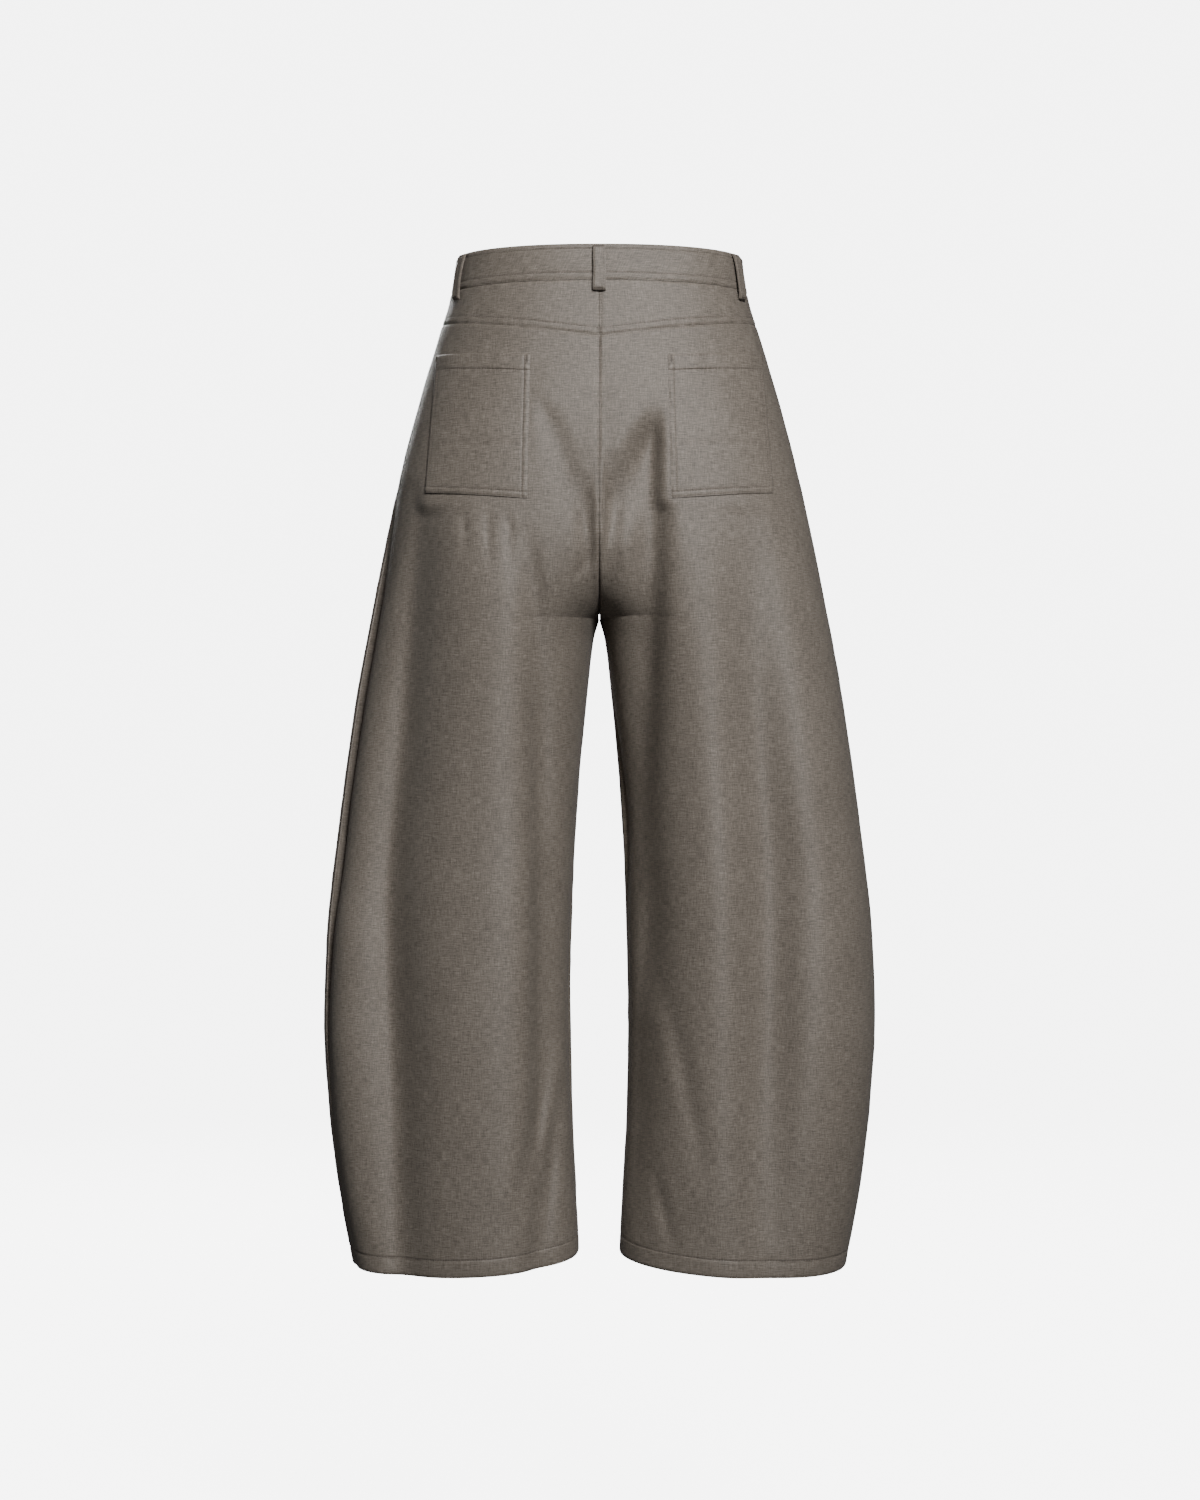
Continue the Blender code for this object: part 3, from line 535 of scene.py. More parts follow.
def shell(name, outer, inner, run_across, run_up, material):
    """A closed wall between two grids of points, with a UV map in metres that the weave follows."""
    rows, columns = outer.shape[:2]
    count = rows * columns
    index = np.arange(count).reshape(rows, columns)
    quads = np.stack([index[:-1, :-1], index[:-1, 1:], index[1:, 1:], index[1:, :-1]], axis=-1).reshape(-1, 4)
    rim = np.concatenate([index[0, :], index[1:, -1], index[-1, -2::-1], index[-2:0:-1, 0]])
    after = np.roll(rim, -1)
    border = np.stack([after, rim, rim + count, after + count], axis=-1)
    faces = np.concatenate([quads, quads[:, ::-1] + count, border])
    points = np.concatenate([outer.reshape(-1, 3), inner.reshape(-1, 3)])
    a, b, c = (points[faces[:, k]] for k in range(3))
    d = points[faces[:, 3]]
    volume = ((a * np.cross(b, c)).sum() + (a * np.cross(c, d)).sum()) / 6
    if volume < 0:
        faces = faces[:, ::-1]
    mesh = bpy.data.meshes.new(name)
    mesh.from_pydata(points.tolist(), [], faces.tolist())
    uv = np.stack([run_across, run_up], axis=-1).reshape(-1, 2)
    uv = np.concatenate([uv, uv])
    mesh.uv_layers.new(name="weave").data.foreach_set("uv", uv[faces.reshape(-1)].astype(np.float32).ravel())
    mesh.shade_smooth()
    mesh.set_sharp_from_angle(angle=SHARP_EDGE)
    mesh.materials.append(material)
    piece = bpy.data.objects.new(name, mesh)
    bpy.context.scene.collection.objects.link(piece)
    return piece


def linear(hex_colour):
    """The linear colour, with alpha, of an sRGB hex value."""
    channels = [int(hex_colour[k : k + 2], 16) / 255 for k in (1, 3, 5)]
    return (*[c / 12.92 if c <= 0.04045 else ((c + 0.055) / 1.055) ** 2.4 for c in channels], 1.0)


def add_node(tree, kind, settings=(), inputs=(), links=()):
    """Adds a node, sets its properties and input values, and links outputs of others to its inputs."""
    node = tree.nodes.new(kind)
    for name, value in dict(settings).items():
        setattr(node, name, value)
    for name, value in dict(inputs).items():
        node.inputs[name].default_value = value
    for name, output in dict(links).items():
        tree.links.new(output, node.inputs[name])
    return node


# How far each sewn edge rolls over, and how cloth gathers beside a row of stitches
ROLL_DEPTH = 0.0009
ROLL_WIDTH = 0.0015
GROOVE_DEPTH = 0.0005
GROOVE_WIDTH = 0.0008
PRESSED_SEAM = 0.3
PUCKER_REACH = 0.014
PUCKER_CELL = 0.017
SIDE_FADE = 0.014
INNER_FADE = 0.009
TOP_FADE = 0.022
YOKE_STITCH = 0.0068
BAND_TOP_STITCH = 0.0050
BAND_LOW_STITCH = 0.0070
HEM_STITCH = 0.0176
CENTRE_STITCH = 0.0022
POCKET_STITCH = 0.0058
FLY_STITCH = 0.036
FLY_BOTTOM = -0.168
FLY_CURVE = 0.030
FLY_EDGE_RAISE = 0.0007
FLY_UNDER_DROP = 0.0010
FLY_EDGE_REACH = 0.010
FLY_EDGE_FADE = 0.02
EDGES = ("side", "inner", "bottom", "top")
LEG_SEEDS, YOKE_SEED, BAND_SEED, POCKET_SEED, LOOP_SEED = 10, 60, 71, 80, 5
PULL_SEED, MOUTH_SEED = 7, 9

# How the cloth strays between its folds: the width and length of its soft hills, and the share of the
# undulation that they take. Beside a row of stitches it pulls in: how wide each pull is, how far it
# reaches, and the share of the pucker that it takes.
LEG_SWELL = (0.052, 0.135)
LEG_RIPPLE = (0.021, 0.060)
RIPPLE_SHARE = 0.45
YOKE_SWELL = (0.034, 0.05)
YOKE_SWELL_SHARE = 0.4
YOKE_FADE = 0.01
BAND_SWELL = (0.038, 0.05)
BAND_SWELL_SHARE = 0.45
BAND_LOW_FADE = 0.01
BAND_TOP_FADE = 0.008
POCKET_SWELL = (0.031, 0.06)
POCKET_SWELL_SHARE = 0.5
HEM_PULL = (0.013, 0.009, 0.6)
YOKE_PULL = (0.012, 0.006, 0.5)
BAND_PULL = (0.011, 0.007, 0.5)

# The pocket's mouth waves a little, and a faint level crease crosses the pocket below its middle
MOUTH_REACH = 0.03
MOUTH_WAVE = 0.6
MOUTH_WAVE_WIDTH = 0.019
CREASE_DEPTH = 0.0005
CREASE_PLACE = 0.089
CREASE_FALL = 0.004
CREASE_WIDTH = 0.004

# A belt loop's places across, how it bends out from the band, and how its folded edges and ends stand up
LOOP_ACROSS = (-1, -0.95, -0.86, -0.74, -0.6, -0.4, -0.2, 0, 0.2, 0.4, 0.6, 0.74, 0.86, 0.95, 1)
LOOP_BEND = 0.55
LOOP_END_PLACE = 0.003
LOOP_END_WIDTH = 0.004
LOOP_SWAY = 0.0008
LOOP_SWAY_LENGTH = 0.02
LOOP_EDGE_DEPTH = 0.0005
LOOP_EDGE_WIDTH = 0.13
LOOP_EDGE_RISE = 0.35
LOOP_EDGE_PLACE = 0.72

# Sewing thread: each stitch is a short raised dash, and a tack is a row of stitches laid close side by side
STITCH_LENGTH = 0.0022
STITCH_PITCH = 0.0028
STITCH_THICKNESS = 0.00042
STITCH_LIFT = 0.00006
TACK_PITCH = 0.0006
TACK_WIDTH = 0.0021
TACK_LENGTH = 0.0070
CENTRE_STITCH_REACH = 0.026
BAND_END_STITCH = 0.0050
LOOP_EDGE_STITCH = 0.0018
STITCH_SLANT = 0.05
STITCH_UNEVEN = (0.93, 1.05)
TACK_POINTS = 12
ROW_END = 0.0010
BAND_START = 0.004
POCKET_TACK_EDGE = 0.003
POCKET_TACK_TOP = 0.005
LOOP_ROW_END = 0.004
LOOP_TACK_EDGE = 0.0026
LOOP_TACK_SPARE = 0.003
FLY_TACK = 0.006

# The weave, by its real sizes: how long and thick a slub is across and up the cloth, the soft mottle and
# cockle of pressed cloth, and the yarns, drawn at 0.7 mm for the real 0.5 so that they show from near by
WEFT_SLUB = (0.0100, 0.0009)
WARP_SLUB = (0.0009, 0.0120)
MOTTLE = 0.045
FLECK = 0.0016
COCKLE = 0.012
COCKLE_HEIGHT = 0.00022
YARN_PITCH = 0.0007
YARN_HEIGHT = 0.00008
TAPE_RIB = 0.0010

# How much each part of the weave darkens the suiting and lifts its surface, and the colours it runs through
SUITING_TONE = {"weft": 0.74, "warp": 0.52, "mottle": 0.12, "fleck": 0.24}
SUITING_RELIEF = {"crossings": 0.5, "weft": 0.8, "warp": 0.6}
SUITING_COLOURS = ((0.20, "#4A443D"), (0.40, "#6B635A"), (0.60, "#877E74"), (0.82, "#A89E93"))
SLUB_ROUGHNESS = 0.10
THREAD_COLOURS = ((0.3, "#453E37"), (0.7, "#5F564D"))
COIL_COLOURS = ((0.35, "#585049"), (0.65, "#6E655C"))
TAPE_COLOURS = ((0.3, "#675E56"), (0.7, "#796F66"))
NICKEL_COLOURS = ((0.35, "#A29D95"), (0.65, "#BDB8AF"))
RESIN_COLOURS = ((0.30, "#3E362F"), (0.48, "#5A5048"), (0.62, "#6B6056"), (0.78, "#82766A"))
TAPE_RELIEF, TWIST_RELIEF, SCRATCH_RELIEF, WORN_RELIEF = 0.0001, 0.00005, 0.00002, 0.00001
SCRATCH_SIZE = (0.006, 0.0004)
CLOUD_SIZE = (0.010, 0.004)

cloths = {}


def cloth_grid(name, plain, normal, coarse, wall, fine_at):
    """Lays folds and then sewing on a grid of points, and keeps what the stitches need to find them."""
    base = plain - unit(normal * FOLD_LEAN) * coarse[..., None]
    facing = grid_normals(base, normal)
    across, up = run_lengths(base, 1), run_lengths(base, 0)
    away = {"side": across, "inner": across[:, -1:] - across, "bottom": up, "top": up[-1:] - up}
    fine = fine_at(away, across, up)
    outer = base - facing * fine[..., None]
    inner = base - facing * wall[..., None]
    cloths[name] = {"outer": outer, "normal": facing, "away": away, "across": across, "up": up}
    return outer, inner


def sewn_edges(away, along, edges, seed, open_side=False):
    """Rolls the named edges over and puckers the cloth beside them. A side seam pressed open rolls least."""
    depth = np.zeros_like(away["side"])
    for number, edge in enumerate(edges):
        run = along["up"] if edge in ("side", "inner") else along["across"]
        pucker = noise_field(run, away[edge], PUCKER_CELL, 4 * PUCKER_CELL, seed + number)
        roll = PRESSED_SEAM if edge == "side" and open_side else 1.0
        depth += roll * ROLL_DEPTH * bump(away[edge], ROLL_WIDTH)
        near = smooth(1 - away[edge] / PUCKER_REACH) * smooth(away[edge] / ROLL_WIDTH)
        depth += bpy.context.scene.trousers_cloth.pucker * pucker * near
    return depth


def pulled(run, distance, pull, seed):
    """How far the cloth pulls in beside a row of stitches, unevenly along the row."""
    width, reach, share = pull
    uneven = noise_field(run, 0 * run, width, 1, seed)
    return share * bpy.context.scene.trousers_cloth.pucker * uneven * bump(distance, reach)


def groove(distance, place):
    return GROOVE_DEPTH * bump(distance - place, GROOVE_WIDTH)


def mirror_side(points, side):
    """Keeps cloth clear of the seam planes and turns it to its own side of the body."""
    points = points.copy()
    points[..., 0] = side * np.maximum(points[..., 0], SEAM / 2)
    return points


def clear_of_side_seam(points, face):
    points[..., 1] = face * np.maximum(face * points[..., 1], SEAM / 2)
    return points


def beside(place, offsets=BESIDE_STITCH):
    """Places close to a row of stitches, where the cloth needs short steps."""
    return [place + offset for offset in offsets]


def leg_levels(face, top_level):
    """Level heights of a leg's rows, evenly spaced along its side and its seat together."""
    fine = np.linspace(HEM_OUTER, top_level, LEVEL_SAMPLES)
    seat = np.linalg.norm(np.diff(plain_surface(face, np.ones_like(fine), fine), axis=0), axis=-1)
    steps = (1 - SEAT_SHARE) * np.diff(fine) + SEAT_SHARE * seat
    measure = np.concatenate([[0], np.cumsum(steps)])
    ends_of_turn = [HEM_TURN, HEM_TURN + HEM_LEDGE]
    places = graded(measure[-1], LEG_ROW_STEP, beside(HEM_STITCH, BESIDE_HEM_STITCH) + ends_of_turn)
    return np.interp(places, measure, fine)


def leg_cloth(side, face):
    """One leg's back or front, from the hem to the yoke or the waistband, its hem turned up inside."""
    name = f"{FACE_WORDS[face]}_{SIDE_WORDS[side]}"
    cloth = bpy.context.scene.trousers_cloth
    seed = LEG_SEEDS * (2 * (side == LEFT) + (face == BACK))
    turn = graded(LEG_WIDTH, GRID_STEP) / LEG_WIDTH
    top_level = YOKE_SIDE if face == BACK else BAND_SEAM
    top = (yoke_height(turn) if face == BACK else BAND_SEAM + waist_lift(face, turn)) - SEAM / 2
    levels = leg_levels(face, top_level)[:, None]
    start = RISE_START[face]
    near_top = np.clip((levels - start) / (top_level - start), 0, 1) ** 2
    near_hem = np.clip((HEM_BLEND - levels) / (HEM_BLEND - HEM_OUTER), 0, 1)
    heights = levels + near_top * (top - top_level) + near_hem * (hem_height(face, turn) - HEM_OUTER)
    turns = np.broadcast_to(turn, heights.shape)
    plain = plain_surface(face, turns, heights)
    normal = plain_normals(face, turns, heights)
    across, up = run_lengths(plain, 1), run_lengths(plain, 0)
    fade = smooth(across / SIDE_FADE) * smooth((across[:, -1:] - across) / INNER_FADE)
    fade = fade * smooth((up[-1:] - up) / TOP_FADE)
    coarse = fold_depths(side, face, plain[..., 0], heights)
    coarse = coarse + cloth.undulation * noise_field(across, heights, *LEG_SWELL, seed)
    coarse = coarse + RIPPLE_SHARE * cloth.undulation * noise_field(across, heights, *LEG_RIPPLE, seed + 1)
    wall = np.full(heights.shape, CLOTH)
    wall[levels[:, 0] < HEM_OUTER + HEM_TURN + TURN_MARGIN] = 2 * CLOTH + SEAM

    def sewing(away, run_across, run_up):
        along = {"across": run_across, "up": run_up}
        depth = sewn_edges(away, along, EDGES, seed + 2, open_side=True)
        depth += groove(away["bottom"], HEM_STITCH)
        depth += pulled(run_across, away["bottom"] - HEM_STITCH, HEM_PULL, seed + PULL_SEED)
        if face == FRONT:
            edge = smooth(1 - away["inner"] / FLY_EDGE_REACH)
            edge = edge * smooth((heights - FLY_BOTTOM) / FLY_EDGE_FADE + 1)
            depth += edge * (FLY_UNDER_DROP if side == LEFT else -FLY_EDGE_RAISE)
        if name == "front_right":
            depth += GROOVE_DEPTH * bump(away["inner"] - fly_line(heights), GROOVE_WIDTH)
        return depth

    outer, inner = cloth_grid(name, plain, normal, coarse * fade, wall, sewing)
    outer, inner = clear_of_side_seam(outer, face), clear_of_side_seam(inner, face)
    cloths[name]["heights"] = heights
    middle = [np.interp(-GRAIN_LINE, -row, run) for row, run in zip(plain[..., 0], across)]
    cloth_made(name, side, outer, inner, across - np.array(middle)[:, None], heights)


def fly_line(height):
    """How far the fly's stitching is from the centre seam: straight down, then curving in to it."""
    share = np.clip((FLY_BOTTOM + FLY_CURVE - height) / FLY_CURVE, 0, 1)
    return np.where(height < FLY_BOTTOM, -1.0, FLY_STITCH * np.sqrt(1 - share**2))


def cloth_made(name, side, outer, inner, run_across, run_up):
    """Mirrors a grid to its side and makes the piece of cloth that stands for its solid."""
    outer, inner = mirror_side(outer, side), mirror_side(inner, side)
    cloths[name]["outer"] = outer
    cloths[name]["normal"] = cloths[name]["normal"] * np.array([side, 1, 1])
    piece = shell(f"{name}_cloth", outer, inner, run_across, run_up, suiting())
    finish_piece(piece, "suiting", name)


def finish_piece(piece, slot, *nodes):
    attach(piece, "root")
    if nodes:
        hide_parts(*nodes)
    return piece


def yoke_cloth(side):
    name = f"yoke_{SIDE_WORDS[side]}"
    cloth = bpy.context.scene.trousers_cloth
    seed = YOKE_SEED + side
    turn = graded(YOKE_WIDTH, GRID_STEP) / YOKE_WIDTH
    low = yoke_height(turn) + SEAM / 2
    high = BAND_SEAM + waist_lift(BACK, turn) - SEAM / 2
    places = graded(YOKE_LENGTH, YOKE_ROW_STEP, beside(YOKE_STITCH))
    heights = low + (high - low) * (places / places[-1])[:, None]
    turns = np.broadcast_to(turn, heights.shape)
    plain = plain_surface(BACK, turns, heights)
    normal = plain_normals(BACK, turns, heights)
    across, up = run_lengths(plain, 1), run_lengths(plain, 0)
    coarse = YOKE_SWELL_SHARE * cloth.undulation * noise_field(across, up, *YOKE_SWELL, seed)
    fade = smooth(across / SIDE_FADE) * smooth((across[:, -1:] - across) / INNER_FADE)
    fade = fade * smooth(up / YOKE_FADE) * smooth((up[-1:] - up) / YOKE_FADE)

    def sewing(away, run_across, run_up):
        along = {"across": run_across, "up": run_up}
        depth = sewn_edges(away, along, EDGES, seed + 2, open_side=True)
        depth += groove(away["bottom"], YOKE_STITCH)
        if side == RIGHT:
            depth += groove(away["inner"], CENTRE_STITCH)
        return depth + pulled(run_across, away["bottom"] - YOKE_STITCH, YOKE_PULL, seed + PULL_SEED)

    outer, inner = cloth_grid(name, plain, normal, coarse * fade, np.full(heights.shape, CLOTH), sewing)
    outer, inner = clear_of_side_seam(outer, BACK), clear_of_side_seam(inner, BACK)
    cloth_made(name, side, outer, inner, across - across[:, -1:] / 2, heights)


def waist_points(angle, height):
    """Points and normals round the waist. The angle runs from the centre front, over the left side."""
    wrapped = np.mod(angle, 2 * math.pi)
    side = np.where(wrapped <= math.pi, LEFT, RIGHT)
    quarter = np.where(side == LEFT, wrapped, 2 * math.pi - wrapped)
    face = np.where(quarter > math.pi / 2, BACK, FRONT)
    turn = np.abs(quarter - math.pi / 2) / (math.pi / 2)
    points, normals = np.empty(angle.shape + (3,)), np.empty(angle.shape + (3,))
    for one_face in (BACK, FRONT):
        here = face == one_face
        raised = height[here] + waist_lift(one_face, turn[here])
        points[here] = plain_surface(one_face, turn[here], raised)
        normals[here] = plain_normals(one_face, turn[here], raised)
    turned = np.stack([side, np.ones_like(side), np.ones_like(side)], axis=-1)
    points[..., 0] -= SEAM / 2
    return points * turned, normals * turned


def waist_angle(across):
    return math.asin(across / float(half_width_at(np.array(0.0))))


def lap_under(angle):
    """How far the left end of the band lies inside, where the right end laps over it."""
    first, last = waist_angle(LAP_OVER), waist_angle(LAP_OVER + LAP_EASE)
    return (BAND_CLOTH + 2 * SEAM) * (1 - smooth((angle - first) / (last - first)))


def waistband_cloth():
    """One folded strip round the waist, stitched along both edges, its right end lapped over the left."""
    cloth = bpy.context.scene.trousers_cloth
    start, end = -waist_angle(LAP_UNDER), 2 * math.pi + waist_angle(LAP_OVER)
    length = (end - start) * WAIST_RADIUS
    angle = start + graded(length, GRID_STEP) / length * (end - start)
    low, high = BAND_SEAM + SEAM / 2, BAND_TOP
    stitch_rows = beside(BAND_LOW_STITCH) + beside(high - low - BAND_TOP_STITCH)
    height = low + graded(high - low, BAND_ROW_STEP, stitch_rows)[:, None] + 0 * angle
    angles = angle[None, :] + 0 * height
    plain, normal = waist_points(angles, height)
    lift = BAND_PROUD - lap_under(angles)
    plain = plain + normal * lift[..., None]
    across = run_lengths(plain, 1)
    middle = smooth((height - low) / BAND_LOW_FADE) * smooth((high - height) / BAND_TOP_FADE)
    swell = noise_field(across, height, *BAND_SWELL, BAND_SEED)
    coarse = BAND_SWELL_SHARE * cloth.undulation * swell * middle

    def sewing(away, run_across, run_up):
        along = {"across": run_across, "up": run_up}
        depth = sewn_edges(away, along, EDGES, BAND_SEED + 1)
        depth += groove(away["bottom"], BAND_LOW_STITCH) + groove(away["top"], BAND_TOP_STITCH)
        return depth + pulled(run_across, away["bottom"] - BAND_LOW_STITCH, BAND_PULL, BAND_SEED + PULL_SEED)

    outer, inner = cloth_grid("waistband", plain, normal, coarse, np.full(height.shape, BAND_CLOTH), sewing)
    cloths["waistband"]["angles"] = angles
    piece = shell("waistband_cloth", outer, inner, across, height, suiting())
    finish_piece(piece, "suiting", "waistband")


def pocket_cloth(side):
    """A patch pocket on the back panel's own points, moved out, with its mouth hemmed and tacked."""
    name = f"back_pocket_{SIDE_WORDS[side]}"
    cloth = bpy.context.scene.trousers_cloth
    seed = POCKET_SEED + 3 * side
    width, length = POCKET_SIZE
    rows = beside(POCKET_HEM) + beside(length - POCKET_STITCH)
    columns = beside(POCKET_STITCH) + beside(width - POCKET_STITCH)
    t = (graded(length, POCKET_STEP, rows) / length)[::-1, None]
    s = (graded(width, POCKET_STEP, columns) / width)[None, ::-1]
    inner_edge = POCKET_INNER[0] + (POCKET_INNER[1] - POCKET_INNER[0]) * t
    outer_edge = POCKET_OUTER[0] + (POCKET_OUTER[1] - POCKET_OUTER[0]) * t
    top = POCKET_TOP[0] + (POCKET_TOP[1] - POCKET_TOP[0]) * s
    bottom = POCKET_BOTTOM[0] + (POCKET_BOTTOM[1] - POCKET_BOTTOM[0]) * s
    across = inner_edge + (outer_edge - inner_edge) * s
    heights = top + (bottom - top) * t
    turns = turn_at(BACK, across, heights)
    wall = np.where(t * length < POCKET_HEM, POCKET_HEM_CLOTH, POCKET_CLOTH) + 0 * s
    mouth = POCKET_GAPE * np.sin(np.pi * s) * smooth(1 - t * length / MOUTH_REACH)
    uneven = 1 + MOUTH_WAVE * noise_field(s * width, 0 * s, MOUTH_WAVE_WIDTH, 1, seed + MOUTH_SEED)
    belly = POCKET_BELLY * np.sin(np.pi * s) * np.sin(np.pi * t) ** POCKET_BELLY_SHAPE
    lift = POCKET_LIFT + wall + mouth * uneven + belly
    normal = plain_normals(BACK, turns, heights)
    plain = plain_surface(BACK, turns, heights) + normal * lift[..., None]
    middle = np.sin(np.pi * s) ** 0.5 * np.sin(np.pi * t) ** 0.5
    crease = CREASE_DEPTH * bump(t * length - CREASE_PLACE - CREASE_FALL * s, CREASE_WIDTH)
    u, v = s * width + 0 * t, t * length + 0 * s
    swell = POCKET_SWELL_SHARE * cloth.undulation * noise_field(u, v, *POCKET_SWELL, seed)
    coarse = (swell + crease) * middle

    def sewing(away, run_across, run_up):
        along = {"across": run_across, "up": run_up}
        depth = sewn_edges(away, along, EDGES, seed + 1)
        depth += groove(away["top"], POCKET_HEM)
        for edge in ("side", "inner", "bottom"):
            depth += groove(away[edge], POCKET_STITCH)
        return depth

    outer, inner = cloth_grid(name, plain, normal, coarse, wall, sewing)
    cloth_made(name, side, outer, inner, across - POCKET_MIDDLE, heights)


def belt_loop_cloth(name, degrees):
    """A narrow strap folded in three, its two ends turned under and tacked down on the band."""
    angle = math.pi - math.radians(degrees)
    length = LOOP_TOP - LOOP_BOTTOM
    t = (graded(length, LOOP_ROW_STEP) / length)[:, None]
    heights = LOOP_BOTTOM + length * t
    reach = LOOP_WIDTH / 2 / float(half_width_at(np.array(0.0)))
    sides, _ = waist_points(np.array([angle - reach, angle + reach]), np.zeros(2))
    spread = reach * LOOP_WIDTH / np.linalg.norm(sides[0] - sides[1])
    s = np.array(LOOP_ACROSS)[None, :]
    angles = angle + spread * s + 0 * t
    plain, normal = waist_points(angles, heights + 0 * s)
    arch = np.sin(np.pi * t)
    stand = BAND_PROUD + SEAM + LOOP_STAND * np.clip(arch, 0, 1) ** LOOP_BEND
    ends = sum(bump(run * length - LOOP_END_PLACE, LOOP_END_WIDTH) for run in (t, 1 - t))
    seed = int(abs(degrees)) + LOOP_SEED
    sway = LOOP_SWAY * noise_field(t * length, 0 * t, LOOP_SWAY_LENGTH, 1, seed) * arch
    along = np.gradient(plain, axis=1)
    plain = plain + unit(along) * sway[..., None]
    wall = LOOP_CLOTH + LOOP_END_CLOTH * ends + 0 * s
    outer = plain + normal * (stand + wall)[..., None]
    low_edge = bump(1 - np.abs(s), LOOP_EDGE_WIDTH)
    raised_edge = LOOP_EDGE_RISE * bump(np.abs(s) - LOOP_EDGE_PLACE, LOOP_EDGE_WIDTH)
    edge = LOOP_EDGE_DEPTH * (low_edge - raised_edge) + 0 * t
    inner = plain + normal * (stand + 0 * s)[..., None]
    facing = grid_normals(outer, normal)
    outer = outer - facing * edge[..., None]
    across, up = run_lengths(outer, 1), run_lengths(outer, 0)
    away = {"side": across, "inner": across[:, -1:] - across, "bottom": up, "top": up[-1:] - up}
    cloths[name] = {"outer": outer, "normal": facing, "away": away, "across": across, "up": up}
    piece = shell(f"{name}_cloth", outer, inner, across, up, suiting())
    finish_piece(piece, "suiting", name)


def seam_allowance(name, arms, top, bottom):
    """The two edges of cloth pressed open behind a seam, which close it to the light."""
    heights = np.linspace(bottom, top, 2 + int((top - bottom) / ALLOWANCE_STEP))[:, None]
    away = np.array(ALLOWANCE_COLUMNS) * ALLOWANCE / LEG_WIDTH
    above_turn = (heights - HEM_OUTER - HEM_TURN) / ALLOWANCE_STEP
    drop = ALLOWANCE_DROP + (CLOTH + SEAM) * smooth(2 - above_turn)
    halves = []
    for side, face, edge in arms:
        turn = away if edge == "side" else 1 - away
        turns = np.broadcast_to(turn, (len(heights), len(turn)))
        points = plain_surface(face, turns, heights) - plain_normals(face, turns, heights) * drop[..., None]
        halves.append(points * np.array([side, 1, 1]))
    outer = np.concatenate([halves[0], halves[1][:, ::-1]], axis=1)
    inward = -unit(halves[0][:, -1:] * np.array([1, 1, 0]))
    across, up = run_lengths(outer, 1), run_lengths(outer, 0)
    piece = shell(name, outer, outer + inward * CLOTH, across, up, suiting())
    finish_piece(piece, "suiting")


def row_on_cloth(name, edge, distance):
    """Points and normals on a piece of cloth, along one of its edges and at a distance from it."""
    cloth = cloths[name]
    away, outer, normal = cloth["away"][edge], cloth["outer"], cloth["normal"]
    if edge in ("bottom", "top"):
        away, outer, normal = away.T, outer.transpose(1, 0, 2), normal.transpose(1, 0, 2)
    distances = np.broadcast_to(distance, len(away))
    points, normals = np.empty((len(away), 3)), np.empty((len(away), 3))
    for k, wanted in enumerate(distances):
        order = np.argsort(away[k])
        for axis in range(3):
            points[k, axis] = np.interp(wanted, away[k][order], outer[k][order, axis])
            normals[k, axis] = np.interp(wanted, away[k][order], normal[k][order, axis])
    return points, normals


def trimmed(row, from_start, from_end):
    """A row of points and normals without the lengths given at its two ends."""
    points, normals = row
    run = run_lengths(points, 0)
    keep = (run >= from_start) & (run <= run[-1] - from_end)
    return points[keep], normals[keep]


def sew(row, pitch=STITCH_PITCH, length=STITCH_LENGTH, crosswise=False):
    """Stitches along a row: the middle and direction of each, the cloth's normal there and its length."""
    points, normals = row
    run = run_lengths(points, 0)
    count = int(run[-1] / pitch)
    random = np.random.RandomState(count)
    places = (np.arange(count) + 0.5) * run[-1] / count
    middles, facing, ahead = (
        np.stack([np.interp(places, run, part[:, axis]) for axis in range(3)], axis=-1)
        for part in (points, normals, np.gradient(points, axis=0))
    )
    ahead, facing = unit(ahead), unit(facing)
    if crosswise:
        ahead = np.cross(facing, ahead)
    slant = random.uniform(-STITCH_SLANT, STITCH_SLANT, count)[:, None] * np.cross(facing, ahead)
    lengths = length * random.uniform(*STITCH_UNEVEN, count)
    return list(zip(middles + facing * STITCH_LIFT, unit(ahead + slant), facing, lengths))


def tack(row, middle, tack_length=TACK_LENGTH):
    """A bar tack: stitches laid close side by side over a short stretch of a row."""
    points, normals = row
    run = run_lengths(points, 0)
    near = np.linspace(middle - tack_length / 2, middle + tack_length / 2, TACK_POINTS)
    spots = np.stack([np.interp(near, run, points[:, axis]) for axis in range(3)], axis=-1)
    facing = np.stack([np.interp(near, run, normals[:, axis]) for axis in range(3)], axis=-1)
    return sew((spots, facing), TACK_PITCH, TACK_WIDTH, crosswise=True)


def thread_form():
    """The corners and faces of one short length of thread, one unit long, wide and thick, lying along X."""
    bpy.ops.mesh.primitive_uv_sphere_add(segments=6, ring_count=4, radius=0.5)
    model = bpy.context.object
    corners = np.array([tuple(vertex.co) for vertex in model.data.vertices])[:, [2, 0, 1]]
    faces = [np.array(polygon.vertices) for polygon in model.data.polygons]
    bpy.data.meshes.remove(model.data)
    return corners, faces


